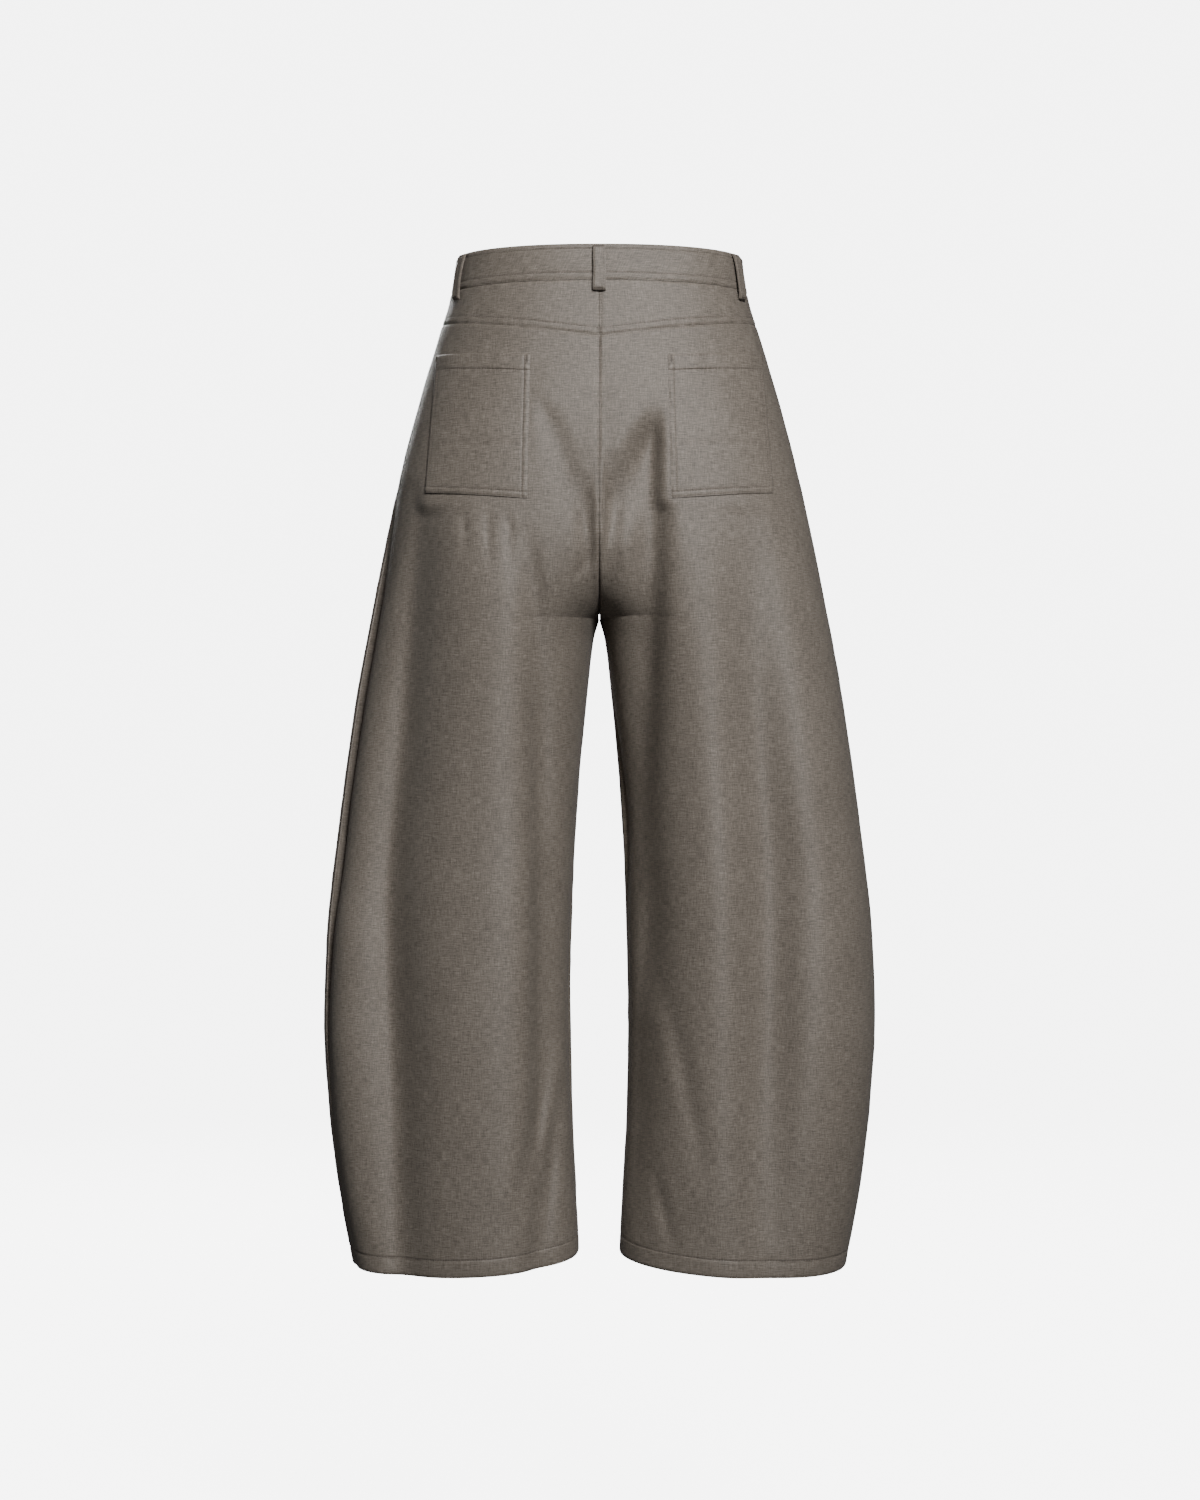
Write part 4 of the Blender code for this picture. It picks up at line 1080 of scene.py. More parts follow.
def thread_piece(name, stitches, material, slot, thickness=STITCH_THICKNESS):
    """Joins many short lengths of thread into one piece."""
    corners, faces = thread_form()
    middles, ahead, facing, lengths = (np.array(part) for part in zip(*stitches))
    facing = unit(facing - ahead * (facing * ahead).sum(axis=1, keepdims=True))
    beside = np.cross(facing, ahead)
    thick = np.full(len(lengths), thickness)
    sizes = np.stack([lengths, thick, thick], axis=-1)
    local = corners[None] * sizes[:, None]
    turned = sum(local[..., k : k + 1] * part[:, None] for k, part in enumerate((ahead, beside, facing)))
    points = (middles[:, None] + turned).reshape(-1, 3)
    joined = [(face + k * len(corners)).tolist() for k in range(len(lengths)) for face in faces]
    mesh = bpy.data.meshes.new(name)
    mesh.from_pydata(points.tolist(), [], joined)
    mesh.shade_smooth()
    mesh.materials.append(material)
    piece = bpy.data.objects.new(name, mesh)
    bpy.context.scene.collection.objects.link(piece)
    return finish_piece(piece, slot)


def leg_sewing():
    """Hem stitching round both legs, and the edge stitch below the yoke beside the centre back seam."""
    stitches = []
    for side in (LEFT, RIGHT):
        for face in (BACK, FRONT):
            name = f"{FACE_WORDS[face]}_{SIDE_WORDS[side]}"
            stitches += sew(trimmed(row_on_cloth(name, "bottom", HEM_STITCH), ROW_END, ROW_END))
    points, normals = row_on_cloth("back_right", "inner", CENTRE_STITCH)
    top = points[:, 2] > points[:, 2].max() - CENTRE_STITCH_REACH
    stitches += sew((points[top], normals[top]))
    thread_piece("leg_stitching", stitches, sewing_thread(), "suiting")


def yoke_sewing():
    """A row along the yoke's lower edge on each side, and one beside its centre seam."""
    stitches = []
    for side in (LEFT, RIGHT):
        name = f"yoke_{SIDE_WORDS[side]}"
        stitches += sew(trimmed(row_on_cloth(name, "bottom", YOKE_STITCH), ROW_END, ROW_END / 2))
    stitches += sew(trimmed(row_on_cloth("yoke_right", "inner", CENTRE_STITCH), ROW_END, ROW_END))
    thread_piece("yoke_stitching", stitches, sewing_thread(), "suiting")


def waistband_sewing():
    """Rows along both edges of the band, joined by one across its lapped end."""
    stitches = []
    for edge, distance in (("top", BAND_TOP_STITCH), ("bottom", BAND_LOW_STITCH)):
        stitches += sew(trimmed(row_on_cloth("waistband", edge, distance), BAND_START, BAND_END_STITCH))
    across_end = row_on_cloth("waistband", "inner", BAND_END_STITCH)
    stitches += sew(trimmed(across_end, BAND_LOW_STITCH, BAND_TOP_STITCH))
    thread_piece("waistband_stitching", stitches, sewing_thread(), "suiting")


def pocket_sewing():
    """One row round three sides of each pocket and one across its hem, tacked at both ends of the mouth."""
    stitches = []
    for side in (LEFT, RIGHT):
        name = f"back_pocket_{SIDE_WORDS[side]}"
        for edge in ("side", "inner"):
            row = row_on_cloth(name, edge, POCKET_STITCH)
            stitches += sew(trimmed(row, POCKET_STITCH, ROW_END))
            length = run_lengths(row[0], 0)[-1]
            stitches += tack(row_on_cloth(name, edge, POCKET_TACK_EDGE), length - POCKET_TACK_TOP)
        stitches += sew(trimmed(row_on_cloth(name, "bottom", POCKET_STITCH), POCKET_STITCH, POCKET_STITCH))
        stitches += sew(trimmed(row_on_cloth(name, "top", POCKET_HEM), POCKET_STITCH, POCKET_STITCH))
    thread_piece("pocket_stitching", stitches, sewing_thread(), "suiting")


def belt_loop_sewing():
    """A row along both folded edges of each loop, and a bar tack across each end."""
    stitches = []
    for name in LOOP_PLACES:
        for edge in ("side", "inner"):
            stitches += sew(trimmed(row_on_cloth(name, edge, LOOP_EDGE_STITCH), LOOP_ROW_END, LOOP_ROW_END))
        for edge in ("bottom", "top"):
            across_end = row_on_cloth(name, edge, LOOP_TACK_EDGE)
            stitches += tack(across_end, LOOP_WIDTH / 2, LOOP_WIDTH - LOOP_TACK_SPARE)
    thread_piece("belt_loop_stitching", stitches, sewing_thread(), "suiting")


def fly_sewing():
    """The curved row that holds the fly's inside, tacked where it meets the centre seam."""
    name = "front_right"
    heights = cloths[name]["heights"][:, -1]
    points, normals = row_on_cloth(name, "inner", np.maximum(fly_line(heights), 0))
    on_fly = (heights > FLY_BOTTOM) & (heights < heights.max())
    row = points[on_fly], normals[on_fly]
    stitches = sew(row)
    stitches += tack(row, FLY_TACK, FLY_TACK)
    thread_piece("fly_stitching", stitches, sewing_thread(), "suiting")


def front_frame(height, lift):
    """The middle of the front at a height, lifted off the cloth, and the cloth's normal there."""
    points, normals = waist_points(np.array([TINY_ANGLE]), np.array([height]))
    normal = unit(normals[0] * np.array([0, 1, 1]))
    return points[0] * np.array([0, 1, 1]) + normal * lift, normal


def placed(piece, point, lean=0.0):
    """Turns a piece made lying flat to face the front, moves it to its place, and settles it there."""
    piece.rotation_euler = (math.pi / 2 - lean, 0, 0)
    piece.location = point
    bpy.ops.object.select_all(action="DESELECT")
    piece.select_set(True)
    bpy.context.view_layer.objects.active = piece
    bpy.ops.object.transform_apply(location=True, rotation=True, scale=True)
    bpy.ops.object.select_all(action="DESELECT")
    return piece


def cut_away(piece, cutter):
    """Takes the cutter's form out of a piece."""
    holes = piece.modifiers.new("Holes", "BOOLEAN")
    holes.operation = "DIFFERENCE"
    holes.object = cutter
    bpy.context.view_layer.objects.active = piece
    bpy.ops.object.modifier_apply(modifier=holes.name)
    bpy.data.meshes.remove(cutter.data)


def bevelled(piece, width):
    edges = piece.modifiers.new("Edges", "BEVEL")
    edges.width = width
    edges.segments = 3
    edges.limit_method = "ANGLE"
    bpy.context.view_layer.objects.active = piece
    bpy.ops.object.modifier_apply(modifier=edges.name)


def button_leaning():
    """How far the band leans back at the button, and the button's middle."""
    lift = BAND_PROUD + BUTTON_STAND + BUTTON_THICKNESS / 2
    (below, _), (above, _) = front_frame(-BUTTON_RADIUS, lift), front_frame(BUTTON_RADIUS, lift)
    return math.atan2(above[1] - below[1], above[2] - below[2]), front_frame(0.0, lift)[0]


def button_made():
    """A turned four-hole button: a raised rim round a shallow dish, sewn on with crossed thread."""
    lean, middle = button_leaning()
    bpy.ops.mesh.primitive_cylinder_add(vertices=BUTTON_SIDES, radius=BUTTON_RADIUS, depth=BUTTON_THICKNESS)
    button = bpy.context.object
    button.name = "button_on_waistband"
    for polygon in button.data.polygons:
        polygon.select = polygon.normal.z > BUTTON_FACE
    bpy.ops.object.mode_set(mode="EDIT")
    bpy.ops.mesh.select_mode(type="FACE")
    bpy.ops.mesh.inset(thickness=BUTTON_RIM)
    bpy.ops.mesh.inset(thickness=BUTTON_DISH)
    bpy.ops.transform.translate(value=(0, 0, -BUTTON_DISH))
    bpy.ops.object.mode_set(mode="OBJECT")
    bevelled(button, BUTTON_BEVEL)
    for x in (-BUTTON_HOLE_SPREAD, BUTTON_HOLE_SPREAD):
        for y in (-BUTTON_HOLE_SPREAD, BUTTON_HOLE_SPREAD):
            bpy.ops.mesh.primitive_cylinder_add(
                vertices=BUTTON_HOLE_SIDES, radius=BUTTON_HOLE_RADIUS, depth=3 * BUTTON_THICKNESS,
                location=(x, y, 0),
            )
            cut_away(button, bpy.context.object)
    button.data.shade_smooth()
    button.data.set_sharp_from_angle(angle=BUTTON_SHARP)
    button.data.materials.append(button_resin())
    placed(button, middle, lean)
    finish_piece(button, "button_resin", "waist_button")

    facing = np.array([0, -math.cos(lean), -math.sin(lean)])
    upward = np.array([0, math.sin(lean), math.cos(lean)]) * np.array([0, 1, 1])
    ahead = np.array([1.0, 0, 0])
    face = middle + facing * (BUTTON_THICKNESS / 2 - BUTTON_DISH + STITCH_THICKNESS / 2)
    stitches = []
    for slope in (1, -1):
        for shift in (-BUTTON_THREAD_SPREAD, BUTTON_THREAD_SPREAD):
            along = unit(ahead + slope * upward)
            place = face + np.cross(facing, along) * shift
            stitches.append((place, along, facing, BUTTON_THREAD_REACH * BUTTON_HOLE_RADIUS))
    thread_piece("button_thread", stitches, sewing_thread(), "suiting", BUTTON_THREAD)


def buttonhole_made():
    """The worked edge of the buttonhole in the lapped end, mostly under the button."""
    run = np.linspace(BUTTONHOLE_START, BUTTONHOLE_START + BUTTONHOLE_LENGTH, BUTTONHOLE_POINTS)
    angles = run / float(half_width_at(np.array(0.0)))
    stitches = []
    for side in (-1, 1):
        place = np.full(len(angles), side * BUTTONHOLE_WIDTH / 2)
        points, normals = waist_points(angles, place)
        row = points + normals * BAND_PROUD, normals
        stitches += sew(row, BUTTONHOLE_PITCH, BUTTONHOLE_WIDTH, crosswise=True)
    thread_piece("buttonhole_stitching", stitches, sewing_thread(), "suiting")


def zip_teeth_made():
    """The coil of the zip, a row of small hooks on each side of the centre, down the tape's inside."""
    count = int((ZIP_TOP - ZIP_BOTTOM) / TOOTH_PITCH)
    coils = []
    for k in range(count):
        for side in (LEFT, RIGHT):
            height = ZIP_TOP - (k + 0.5 + ZIP_SHARE_APART * side) * TOOTH_PITCH
            point, normal = front_frame(height, ZIP_LIFT - ZIP_CLOTH - TOOTH_THICKNESS / 2)
            middle = point + np.array([side * TOOTH_SHARE_OUT * TOOTH_LENGTH, 0, 0])
            coils.append((middle, np.array([1.0, 0, 0]), normal, TOOTH_LENGTH))
    thread_piece("zip_coil", coils, zip_coil(), "zip_tape", TOOTH_THICKNESS)


def slider_made():
    """The zip's slider: a waisted body with a bridge, and a flat pull with a hole hung from it."""
    point, _ = front_frame(SLIDER_HEIGHT, ZIP_LIFT - ZIP_CLOTH - 2 * SEAM - SLIDER_SIZE[1] / 2)
    bpy.ops.mesh.primitive_cube_add(size=1.0)
    body = bpy.context.object
    body.name = "slider_on_zip"
    body.scale = (SLIDER_SIZE[0], SLIDER_SIZE[2], SLIDER_SIZE[1])
    bpy.ops.object.transform_apply(scale=True)
    for vertex in body.data.vertices:
        vertex.co.x *= SLIDER_WAIST if vertex.co.y < 0 else 1.0
    bevelled(body, SLIDER_BEVEL)
    bpy.ops.mesh.primitive_torus_add(
        major_radius=BRIDGE_RADIUS, minor_radius=BRIDGE_THICKNESS,
        major_segments=BRIDGE_SIDES[0], minor_segments=BRIDGE_SIDES[1],
        rotation=(0, math.pi / 2, 0), location=(0, BRIDGE_PLACE, -SLIDER_SIZE[1] / 2),
    )
    bridge = bpy.context.object
    hung_at = (0, -PULL_SIZE[2] / 2 + PULL_HANG[0], -SLIDER_SIZE[1] / 2 - PULL_HANG[1])
    bpy.ops.mesh.primitive_cube_add(size=1.0, location=hung_at)
    pull = bpy.context.object
    pull.scale = (PULL_SIZE[0], PULL_SIZE[2], PULL_SIZE[1])
    bpy.ops.object.transform_apply(location=True, scale=True)
    bpy.ops.mesh.primitive_cylinder_add(
        vertices=PULL_HOLE_SIDES, radius=PULL_HOLE, depth=HOLE_CUT,
        location=(0, -PULL_SIZE[2] + PULL_HOLE_PLACE[0], -PULL_HOLE_PLACE[1]),
    )
    cut_away(pull, bpy.context.object)
    bevelled(pull, PULL_SIZE[1] / 4)
    bpy.ops.object.select_all(action="DESELECT")
    for part in (bridge, pull, body):
        part.select_set(True)
    bpy.context.view_layer.objects.active = body
    bpy.ops.object.join()
    body.data.shade_smooth()
    body.data.set_sharp_from_angle(angle=SLIDER_SHARP)
    body.data.materials.append(nickel_plate())
    placed(body, point)
    finish_piece(body, "zip_metal", "zip_slider")


def noise(tree, vector, scale, detail=2.0, roughness=0.5):
    """Soft random values, as many to a metre as the scale says."""
    inputs = {"Scale": scale, "Detail": detail, "Roughness": roughness}
    return add_node(tree, "ShaderNodeTexNoise", inputs=inputs, links={"Vector": vector}).outputs[0]


def stretched(tree, vector, across, up):
    """The vector drawn out so that one unit is this far across the cloth and this far up it."""
    inputs = {"Scale": (1 / across, 1 / up, 1)}
    return add_node(tree, "ShaderNodeMapping", inputs=inputs, links={"Vector": vector}).outputs[0]


def summed(tree, start, parts):
    """A starting value and each part times its weight."""
    total = start
    for output, weight in parts:
        step = add_node(tree, "ShaderNodeMath", {"operation": "MULTIPLY_ADD"}, {1: weight}, {0: output})
        if isinstance(total, float):
            step.inputs[2].default_value = total
        else:
            tree.links.new(total, step.inputs[2])
        total = step.outputs[0]
    return total


def colours(tree, value, stops):
    """Colours along a value from 0 to 1. Each stop is its place and its hex colour."""
    ramp = add_node(tree, "ShaderNodeValToRGB", links={"Fac": value})
    line = ramp.color_ramp
    while len(line.elements) < len(stops):
        line.elements.new(0.5)
    for element, (place, colour) in zip(line.elements, stops):
        element.position = place
        element.color = linear(colour)
    return ramp.outputs["Color"]


def raised(tree, height, distance, strength=1.0, under=None):
    """A normal from a height, over another raised normal where one is given."""
    links = {"Height": height}
    if under is not None:
        links["Normal"] = under
    inputs = {"Distance": distance, "Strength": strength}
    return add_node(tree, "ShaderNodeBump", inputs=inputs, links=links).outputs[0]


def waves(tree, vector, across, up):
    """Evenly spaced hills, as the crossings of a plain weave make."""
    spread = stretched(tree, vector, across / math.tau, up / math.tau)
    apart = add_node(tree, "ShaderNodeSeparateXYZ", links={"Vector": spread})
    rises = {}
    for k in (0, 1):
        rise = add_node(tree, "ShaderNodeMath", {"operation": "SINE"}, links={0: apart.outputs[k]})
        rises[k] = rise.outputs[0]
    return add_node(tree, "ShaderNodeMath", {"operation": "MULTIPLY"}, links=rises).outputs[0]


def new_material(name, settings):
    """A named material, its tree and its shader with the given values set."""
    material = bpy.data.materials.new(name)
    material.use_nodes = True
    shader = material.node_tree.nodes["Principled BSDF"]
    for key, value in settings.items():
        shader.inputs[key].default_value = value
    return material, material.node_tree, shader


def suiting():
    """Plain-weave wool blend in taupe.

    The eye reads short darker and paler slubs along both yarns over a soft mottle, under a low satin
    sheen.
    """
    if "wool_blend_suiting" in bpy.data.materials:
        return bpy.data.materials["wool_blend_suiting"]
    cloth = bpy.context.scene.trousers_cloth
    settings = {"Sheen Weight": cloth.sheen, "Sheen Roughness": 0.4, "Specular IOR Level": 0.55}
    material, tree, shader = new_material("wool_blend_suiting", settings)
    on_cloth = add_node(tree, "ShaderNodeUVMap", {"uv_map": "weave"}).outputs["UV"]
    weft = noise(tree, stretched(tree, on_cloth, WEFT_SLUB[0], WEFT_SLUB[1]), 1.0, 3.0, 0.6)
    warp = noise(tree, stretched(tree, on_cloth, WARP_SLUB[0], WARP_SLUB[1]), 1.0, 3.0, 0.6)
    mottle = noise(tree, on_cloth, 1 / MOTTLE, 3.0, 0.55)
    fleck = noise(tree, on_cloth, 1 / FLECK, 1.0)
    parts = tuple(zip((weft, warp, mottle, fleck), SUITING_TONE.values()))
    tone = summed(tree, 0.5 - 0.5 * sum(SUITING_TONE.values()), parts)
    tree.links.new(colours(tree, tone, SUITING_COLOURS), shader.inputs["Base Color"])
    matt = summed(tree, cloth.roughness - SLUB_ROUGHNESS / 2, ((weft, SLUB_ROUGHNESS),))
    tree.links.new(matt, shader.inputs["Roughness"])
    cockle = raised(tree, noise(tree, on_cloth, 1 / COCKLE, 2.0), COCKLE_HEIGHT)
    crossings = waves(tree, on_cloth, YARN_PITCH, YARN_PITCH)
    yarns = summed(tree, 0.0, tuple(zip((crossings, weft, warp), SUITING_RELIEF.values())))
    tree.links.new(raised(tree, yarns, YARN_HEIGHT, under=cockle), shader.inputs["Normal"])
    return material


def sewing_thread():
    """Spun polyester thread, dyed to tone with the cloth: it reads as a darker, slightly shinier dash."""
    if "spun_polyester_thread" in bpy.data.materials:
        return bpy.data.materials["spun_polyester_thread"]
    settings = {"Roughness": 0.48, "Sheen Weight": 0.1}
    material, tree, shader = new_material("spun_polyester_thread", settings)
    place = add_node(tree, "ShaderNodeTexCoord").outputs["Object"]
    tone = noise(tree, place, 260.0, 2.0)
    tree.links.new(colours(tree, tone, THREAD_COLOURS), shader.inputs["Base Color"])
    twist = noise(tree, place, 4000.0, 1.0)
    tree.links.new(raised(tree, twist, TWIST_RELIEF), shader.inputs["Normal"])
    return material


def zip_coil():
    """Nylon monofilament coil: smooth and a little shiny, in slightly uneven taupe."""
    if "nylon_coil" in bpy.data.materials:
        return bpy.data.materials["nylon_coil"]
    material, tree, shader = new_material("nylon_coil", {"Roughness": 0.32})
    place = add_node(tree, "ShaderNodeTexCoord").outputs["Object"]
    tone = noise(tree, place, 700.0, 2.0)
    tree.links.new(colours(tree, tone, COIL_COLOURS), shader.inputs["Base Color"])
    return material


def zip_tape():
    """Woven polyester tape: a fine rib across its width and a dry, even surface."""
    material, tree, shader = new_material("woven_polyester_tape", {"Sheen Weight": 0.1})
    place = add_node(tree, "ShaderNodeTexCoord").outputs["Object"]
    tone = noise(tree, place, 900.0, 2.0)
    tree.links.new(colours(tree, tone, TAPE_COLOURS), shader.inputs["Base Color"])
    tree.links.new(summed(tree, 0.78, ((tone, 0.12),)), shader.inputs["Roughness"])
    turned = {"Rotation": (math.pi / 2, 0, 0)}
    upright = add_node(tree, "ShaderNodeMapping", inputs=turned, links={"Vector": place})
    ribs = waves(tree, upright.outputs[0], TAPE_RIB, TAPE_RIB)
    tree.links.new(raised(tree, ribs, TAPE_RELIEF), shader.inputs["Normal"])
    return material


def nickel_plate():
    """Nickel plate on zinc: pale warm metal, rubbed smoother in patches where fingers pull it."""
    material, tree, shader = new_material("nickel_plate", {"Metallic": 1.0})
    place = add_node(tree, "ShaderNodeTexCoord").outputs["Object"]
    rubbed = noise(tree, place, 320.0, 3.0)
    tree.links.new(colours(tree, rubbed, NICKEL_COLOURS), shader.inputs["Base Color"])
    tree.links.new(summed(tree, 0.14, ((rubbed, 0.34),)), shader.inputs["Roughness"])
    scratches = noise(tree, stretched(tree, place, *SCRATCH_SIZE), 1.0, 3.0)
    tree.links.new(raised(tree, scratches, SCRATCH_RELIEF), shader.inputs["Normal"])
    return material


def button_resin():
    """Polyester resin cast to look like horn: cloudy brown streaks under a satin polish."""
    settings = {"Coat Weight": 0.35, "Coat Roughness": 0.12, "IOR": 1.52}
    material, tree, shader = new_material("polyester_resin", settings)
    place = add_node(tree, "ShaderNodeTexCoord").outputs["Object"]
    cloud = noise(tree, stretched(tree, place, *CLOUD_SIZE), 1.0, 4.0, 0.6)
    tree.links.new(colours(tree, cloud, RESIN_COLOURS), shader.inputs["Base Color"])
    worn = noise(tree, place, 1500.0, 2.0)
    tree.links.new(summed(tree, 0.24, ((worn, 0.16),)), shader.inputs["Roughness"])
    tree.links.new(raised(tree, worn, WORN_RELIEF), shader.inputs["Normal"])
    return material


class TrousersCloth(bpy.types.PropertyGroup):
    """The cloth's finish and how freely it moves."""

    roughness: bpy.props.FloatProperty(
        name="Roughness", description="How matt the suiting is", default=0.50, min=0, max=1, subtype="FACTOR"
    )
    sheen: bpy.props.FloatProperty(
        name="Sheen", description="How much the raised fibres catch light", default=0.04, min=0, max=1,
        subtype="FACTOR",
    )
    undulation: bpy.props.FloatProperty(
        name="Undulation", description="How far the cloth strays between its folds", default=0.0008,
        min=0, unit="LENGTH",
    )
    pucker: bpy.props.FloatProperty(
        name="Pucker", description="How far the cloth gathers beside a seam", default=0.00038,
        min=0, unit="LENGTH",
    )


class TROUSERS_OT_legs(bpy.types.Operator):
    """Cut the four leg panels and lay their folds"""

    bl_idname = "trousers.legs"
    bl_label = "Legs"

    def execute(self, context):
        for side in (LEFT, RIGHT):
            for face in (BACK, FRONT):
                leg_cloth(side, face)
        return {"FINISHED"}


class TROUSERS_OT_yokes(bpy.types.Operator):
    """Cut the two halves of the back yoke"""

    bl_idname = "trousers.yokes"
    bl_label = "Yokes"

    def execute(self, context):
        for side in (LEFT, RIGHT):
            yoke_cloth(side)
        return {"FINISHED"}


class TROUSERS_OT_waistband(bpy.types.Operator):
    """Fold the waistband round the waist"""

    bl_idname = "trousers.waistband"
    bl_label = "Waistband"

    def execute(self, context):
        waistband_cloth()
        return {"FINISHED"}


class TROUSERS_OT_pockets(bpy.types.Operator):
    """Lay the two patch pockets on the back"""

    bl_idname = "trousers.pockets"
    bl_label = "Pockets"

    def execute(self, context):
        for side in (LEFT, RIGHT):
            pocket_cloth(side)
        return {"FINISHED"}


class TROUSERS_OT_belt_loops(bpy.types.Operator):
    """Stand the five belt loops on the waistband"""

    bl_idname = "trousers.belt_loops"
    bl_label = "Belt Loops"

    def execute(self, context):
        for name, degrees in LOOP_PLACES.items():
            belt_loop_cloth(name, degrees)
        return {"FINISHED"}


class TrousersStudio(bpy.types.PropertyGroup):
    """The studio's lights and how pale its surroundings are."""

    key: bpy.props.FloatProperty(
        name="Key", description="Power of the large soft light beside the camera", default=172, min=0,
        subtype="POWER",
    )
    left_rim: bpy.props.FloatProperty(
        name="Left Rim", description="Power of the tall light on the wearer's left", default=3.6, min=0,
        subtype="POWER",
    )
    right_rim: bpy.props.FloatProperty(
        name="Right Rim", description="Power of the tall light on the wearer's right", default=1.2, min=0,
        subtype="POWER",
    )
    front: bpy.props.FloatProperty(
        name="Front", description="Power of the soft light on the garment's front", default=135, min=0,
        subtype="POWER",
    )
    surround: bpy.props.FloatProperty(
        name="Surround", description="Light that comes from all round", default=0.05, min=0
    )
    backdrop: bpy.props.FloatProperty(
        name="Backdrop", description="How pale the surroundings look", default=6.0, min=0
    )


# Studio lights: where each stands, its width and height, and the setting that gives its power
STUDIO_AIM = (0.0, 0.0, -0.45)
STUDIO_LIGHTS = {
    "key_softbox": ((-0.95, 3.3, 1.6), 0.9, 0.9, "key"),
    "front_softbox": ((0.6, -3.3, 1.3), 2.0, 2.0, "front"),
    "left_rim_strip": ((2.4, -0.55, -0.30), 1.8, 2.6, "left_rim"),
    "right_rim_strip": ((-2.4, -0.55, -0.30), 0.6, 2.2, "right_rim"),
}
FLOOR_HEIGHT = -1.30
FLOOR_SIZE = 80.0
CAMERA_PLACE = (-0.0007, 3.7, -0.472)
CAMERA_LENS = 88.8
CAMERA_SENSOR = 36.0


def studio_floor_paint():
    """Matt white paint, as pale as the surroundings, so that no horizon shows."""
    material = bpy.data.materials.new("matt_white_paint")
    material.use_nodes = True
    shader = material.node_tree.nodes["Principled BSDF"]
    shader.inputs["Base Color"].default_value = linear("#E6E6E6")
    shader.inputs["Roughness"].default_value = 0.9
    shader.inputs["Emission Color"].default_value = (1, 1, 1, 1)
    shader.inputs["Emission Strength"].default_value = bpy.context.scene.trousers_studio.backdrop
    return material


class TROUSERS_OT_allowances(bpy.types.Operator):
    """Press open the cloth's edges behind the long seams"""

    bl_idname = "trousers.allowances"
    bl_label = "Seam Allowances"

    def execute(self, context):
        back = [(RIGHT, BACK, "inner"), (LEFT, BACK, "inner")]
        front = [(RIGHT, FRONT, "inner"), (LEFT, FRONT, "inner")]
        seam_allowance("allowance_centre_back", back, BAND_SEAM - SEAM, CROTCH + HEM_TURN / 4)
        seam_allowance("allowance_centre_front", front, ZIP_BOTTOM - HEM_TURN / 4, CROTCH + HEM_TURN / 4)
        for side in (LEFT, RIGHT):
            arms = [(side, FRONT, "side"), (side, BACK, "side")]
            name = f"allowance_side_{SIDE_WORDS[side]}"
            seam_allowance(name, arms, BAND_SEAM - SEAM, HEM_OUTER + SEAM)
        return {"FINISHED"}


class TROUSERS_OT_stitching(bpy.types.Operator):
    """Sew every row of stitches that shows"""

    bl_idname = "trousers.stitching"
    bl_label = "Stitching"

    def execute(self, context):
        leg_sewing()
        yoke_sewing()
        waistband_sewing()
        pocket_sewing()
        belt_loop_sewing()
        fly_sewing()
        return {"FINISHED"}


class TROUSERS_OT_closure(bpy.types.Operator):
    """Make the button and its hole, and the zip behind the fly"""

    bl_idname = "trousers.closure"
    bl_label = "Closure"

    def execute(self, context):
        buttonhole_made()
        button_made()
        tape = bpy.data.objects["fly_zip"]
        tape.data.materials.clear()
        tape.data.materials.append(zip_tape())
        zip_teeth_made()
        slider_made()
        return {"FINISHED"}


class TROUSERS_PT_panel(bpy.types.Panel):
    """The steps that make the trousers, in their order"""

    bl_idname = "TROUSERS_PT_panel"
    bl_label = "Barrel Leg Trousers"
    bl_space_type = "VIEW_3D"
    bl_region_type = "UI"
    bl_category = "Trousers"

    def draw(self, context):
        scene = context.scene
        for setting in ("roughness", "sheen", "undulation", "pucker"):
            self.layout.prop(scene.trousers_cloth, setting)
        for step in STEPS:
            self.layout.operator(step)
        for setting in ("key", "left_rim", "right_rim", "front", "surround", "backdrop"):
            self.layout.prop(scene.trousers_studio, setting)


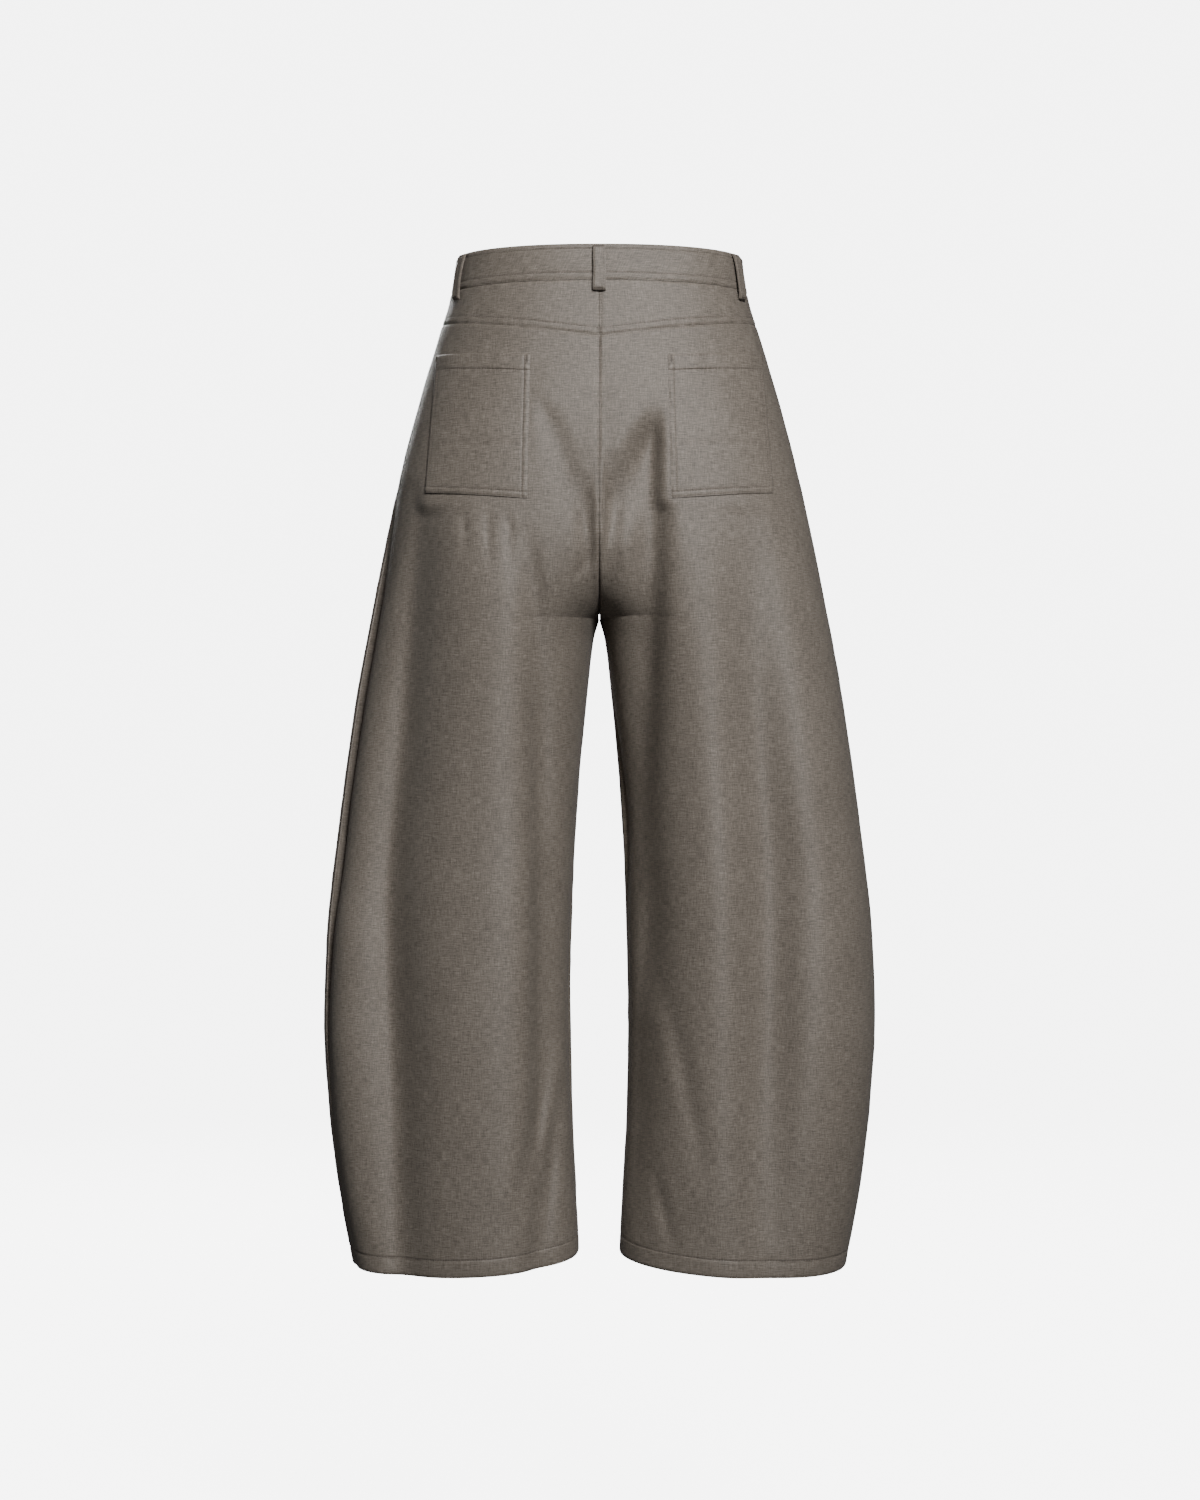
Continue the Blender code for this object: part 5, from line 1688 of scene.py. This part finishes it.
class TROUSERS_OT_stage(bpy.types.Operator):
    """Set up the pale studio, its lights and the camera"""

    bl_idname = "trousers.stage"
    bl_label = "Stage"

    def execute(self, context):
        studio = context.scene.trousers_studio
        bpy.ops.object.camera_add(location=CAMERA_PLACE, rotation=(math.pi / 2, 0, math.pi))
        camera = context.object
        camera.name = "camera"
        camera.data.sensor_fit = "VERTICAL"
        camera.data.sensor_height = CAMERA_SENSOR
        camera.data.lens = CAMERA_LENS
        context.scene.camera = camera

        bpy.ops.mesh.primitive_plane_add(size=FLOOR_SIZE, location=(0, 0, FLOOR_HEIGHT))
        floor = context.object
        floor.name = "studio_floor"
        floor.data.materials.append(studio_floor_paint())
        floor.visible_diffuse = False
        floor.visible_glossy = False

        for name, (place, width, height, power) in STUDIO_LIGHTS.items():
            bpy.ops.object.light_add(type="AREA", location=place)
            light = context.object
            light.name = name
            light.data.shape = "RECTANGLE"
            light.data.size = width
            light.data.size_y = height
            light.data.energy = getattr(studio, power)
            light.rotation_euler = (Vector(STUDIO_AIM) - Vector(place)).to_track_quat("-Z", "Y").to_euler()

        world = bpy.data.worlds.new("studio_surroundings")
        world.use_nodes = True
        tree = world.node_tree
        seen = add_node(tree, "ShaderNodeLightPath").outputs["Is Camera Ray"]
        level = add_node(
            tree, "ShaderNodeMapRange", inputs={"To Min": studio.surround, "To Max": studio.backdrop},
            links={"Value": seen},
        )
        tree.links.new(level.outputs["Result"], tree.nodes["Background"].inputs["Strength"])
        tree.nodes["Background"].inputs["Color"].default_value = (1, 1, 1, 1)
        context.scene.world = world
        return {"FINISHED"}


# The operators, in the order in which they run
STEPS = (
    "trousers.legs",
    "trousers.yokes",
    "trousers.waistband",
    "trousers.pockets",
    "trousers.belt_loops",
    "trousers.allowances",
    "trousers.stitching",
    "trousers.closure",
    "trousers.stage",
)
CLASSES = (
    TrousersCloth,
    TrousersStudio,
    TROUSERS_OT_legs,
    TROUSERS_OT_yokes,
    TROUSERS_OT_waistband,
    TROUSERS_OT_pockets,
    TROUSERS_OT_belt_loops,
    TROUSERS_OT_allowances,
    TROUSERS_OT_stitching,
    TROUSERS_OT_closure,
    TROUSERS_OT_stage,
    TROUSERS_PT_panel,
)


def register():
    for item in CLASSES:
        bpy.utils.register_class(item)
    bpy.types.Scene.trousers_cloth = bpy.props.PointerProperty(type=TrousersCloth)
    bpy.types.Scene.trousers_studio = bpy.props.PointerProperty(type=TrousersStudio)


def unregister():
    del bpy.types.Scene.trousers_studio
    del bpy.types.Scene.trousers_cloth
    for item in reversed(CLASSES):
        bpy.utils.unregister_class(item)


def main():
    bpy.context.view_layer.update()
    register()
    bpy.ops.trousers.legs()
    bpy.ops.trousers.yokes()
    bpy.ops.trousers.waistband()
    bpy.ops.trousers.pockets()
    bpy.ops.trousers.belt_loops()
    bpy.ops.trousers.allowances()
    bpy.ops.trousers.stitching()
    bpy.ops.trousers.closure()
    bpy.ops.trousers.stage()


if __name__ == "__main__":
    main()
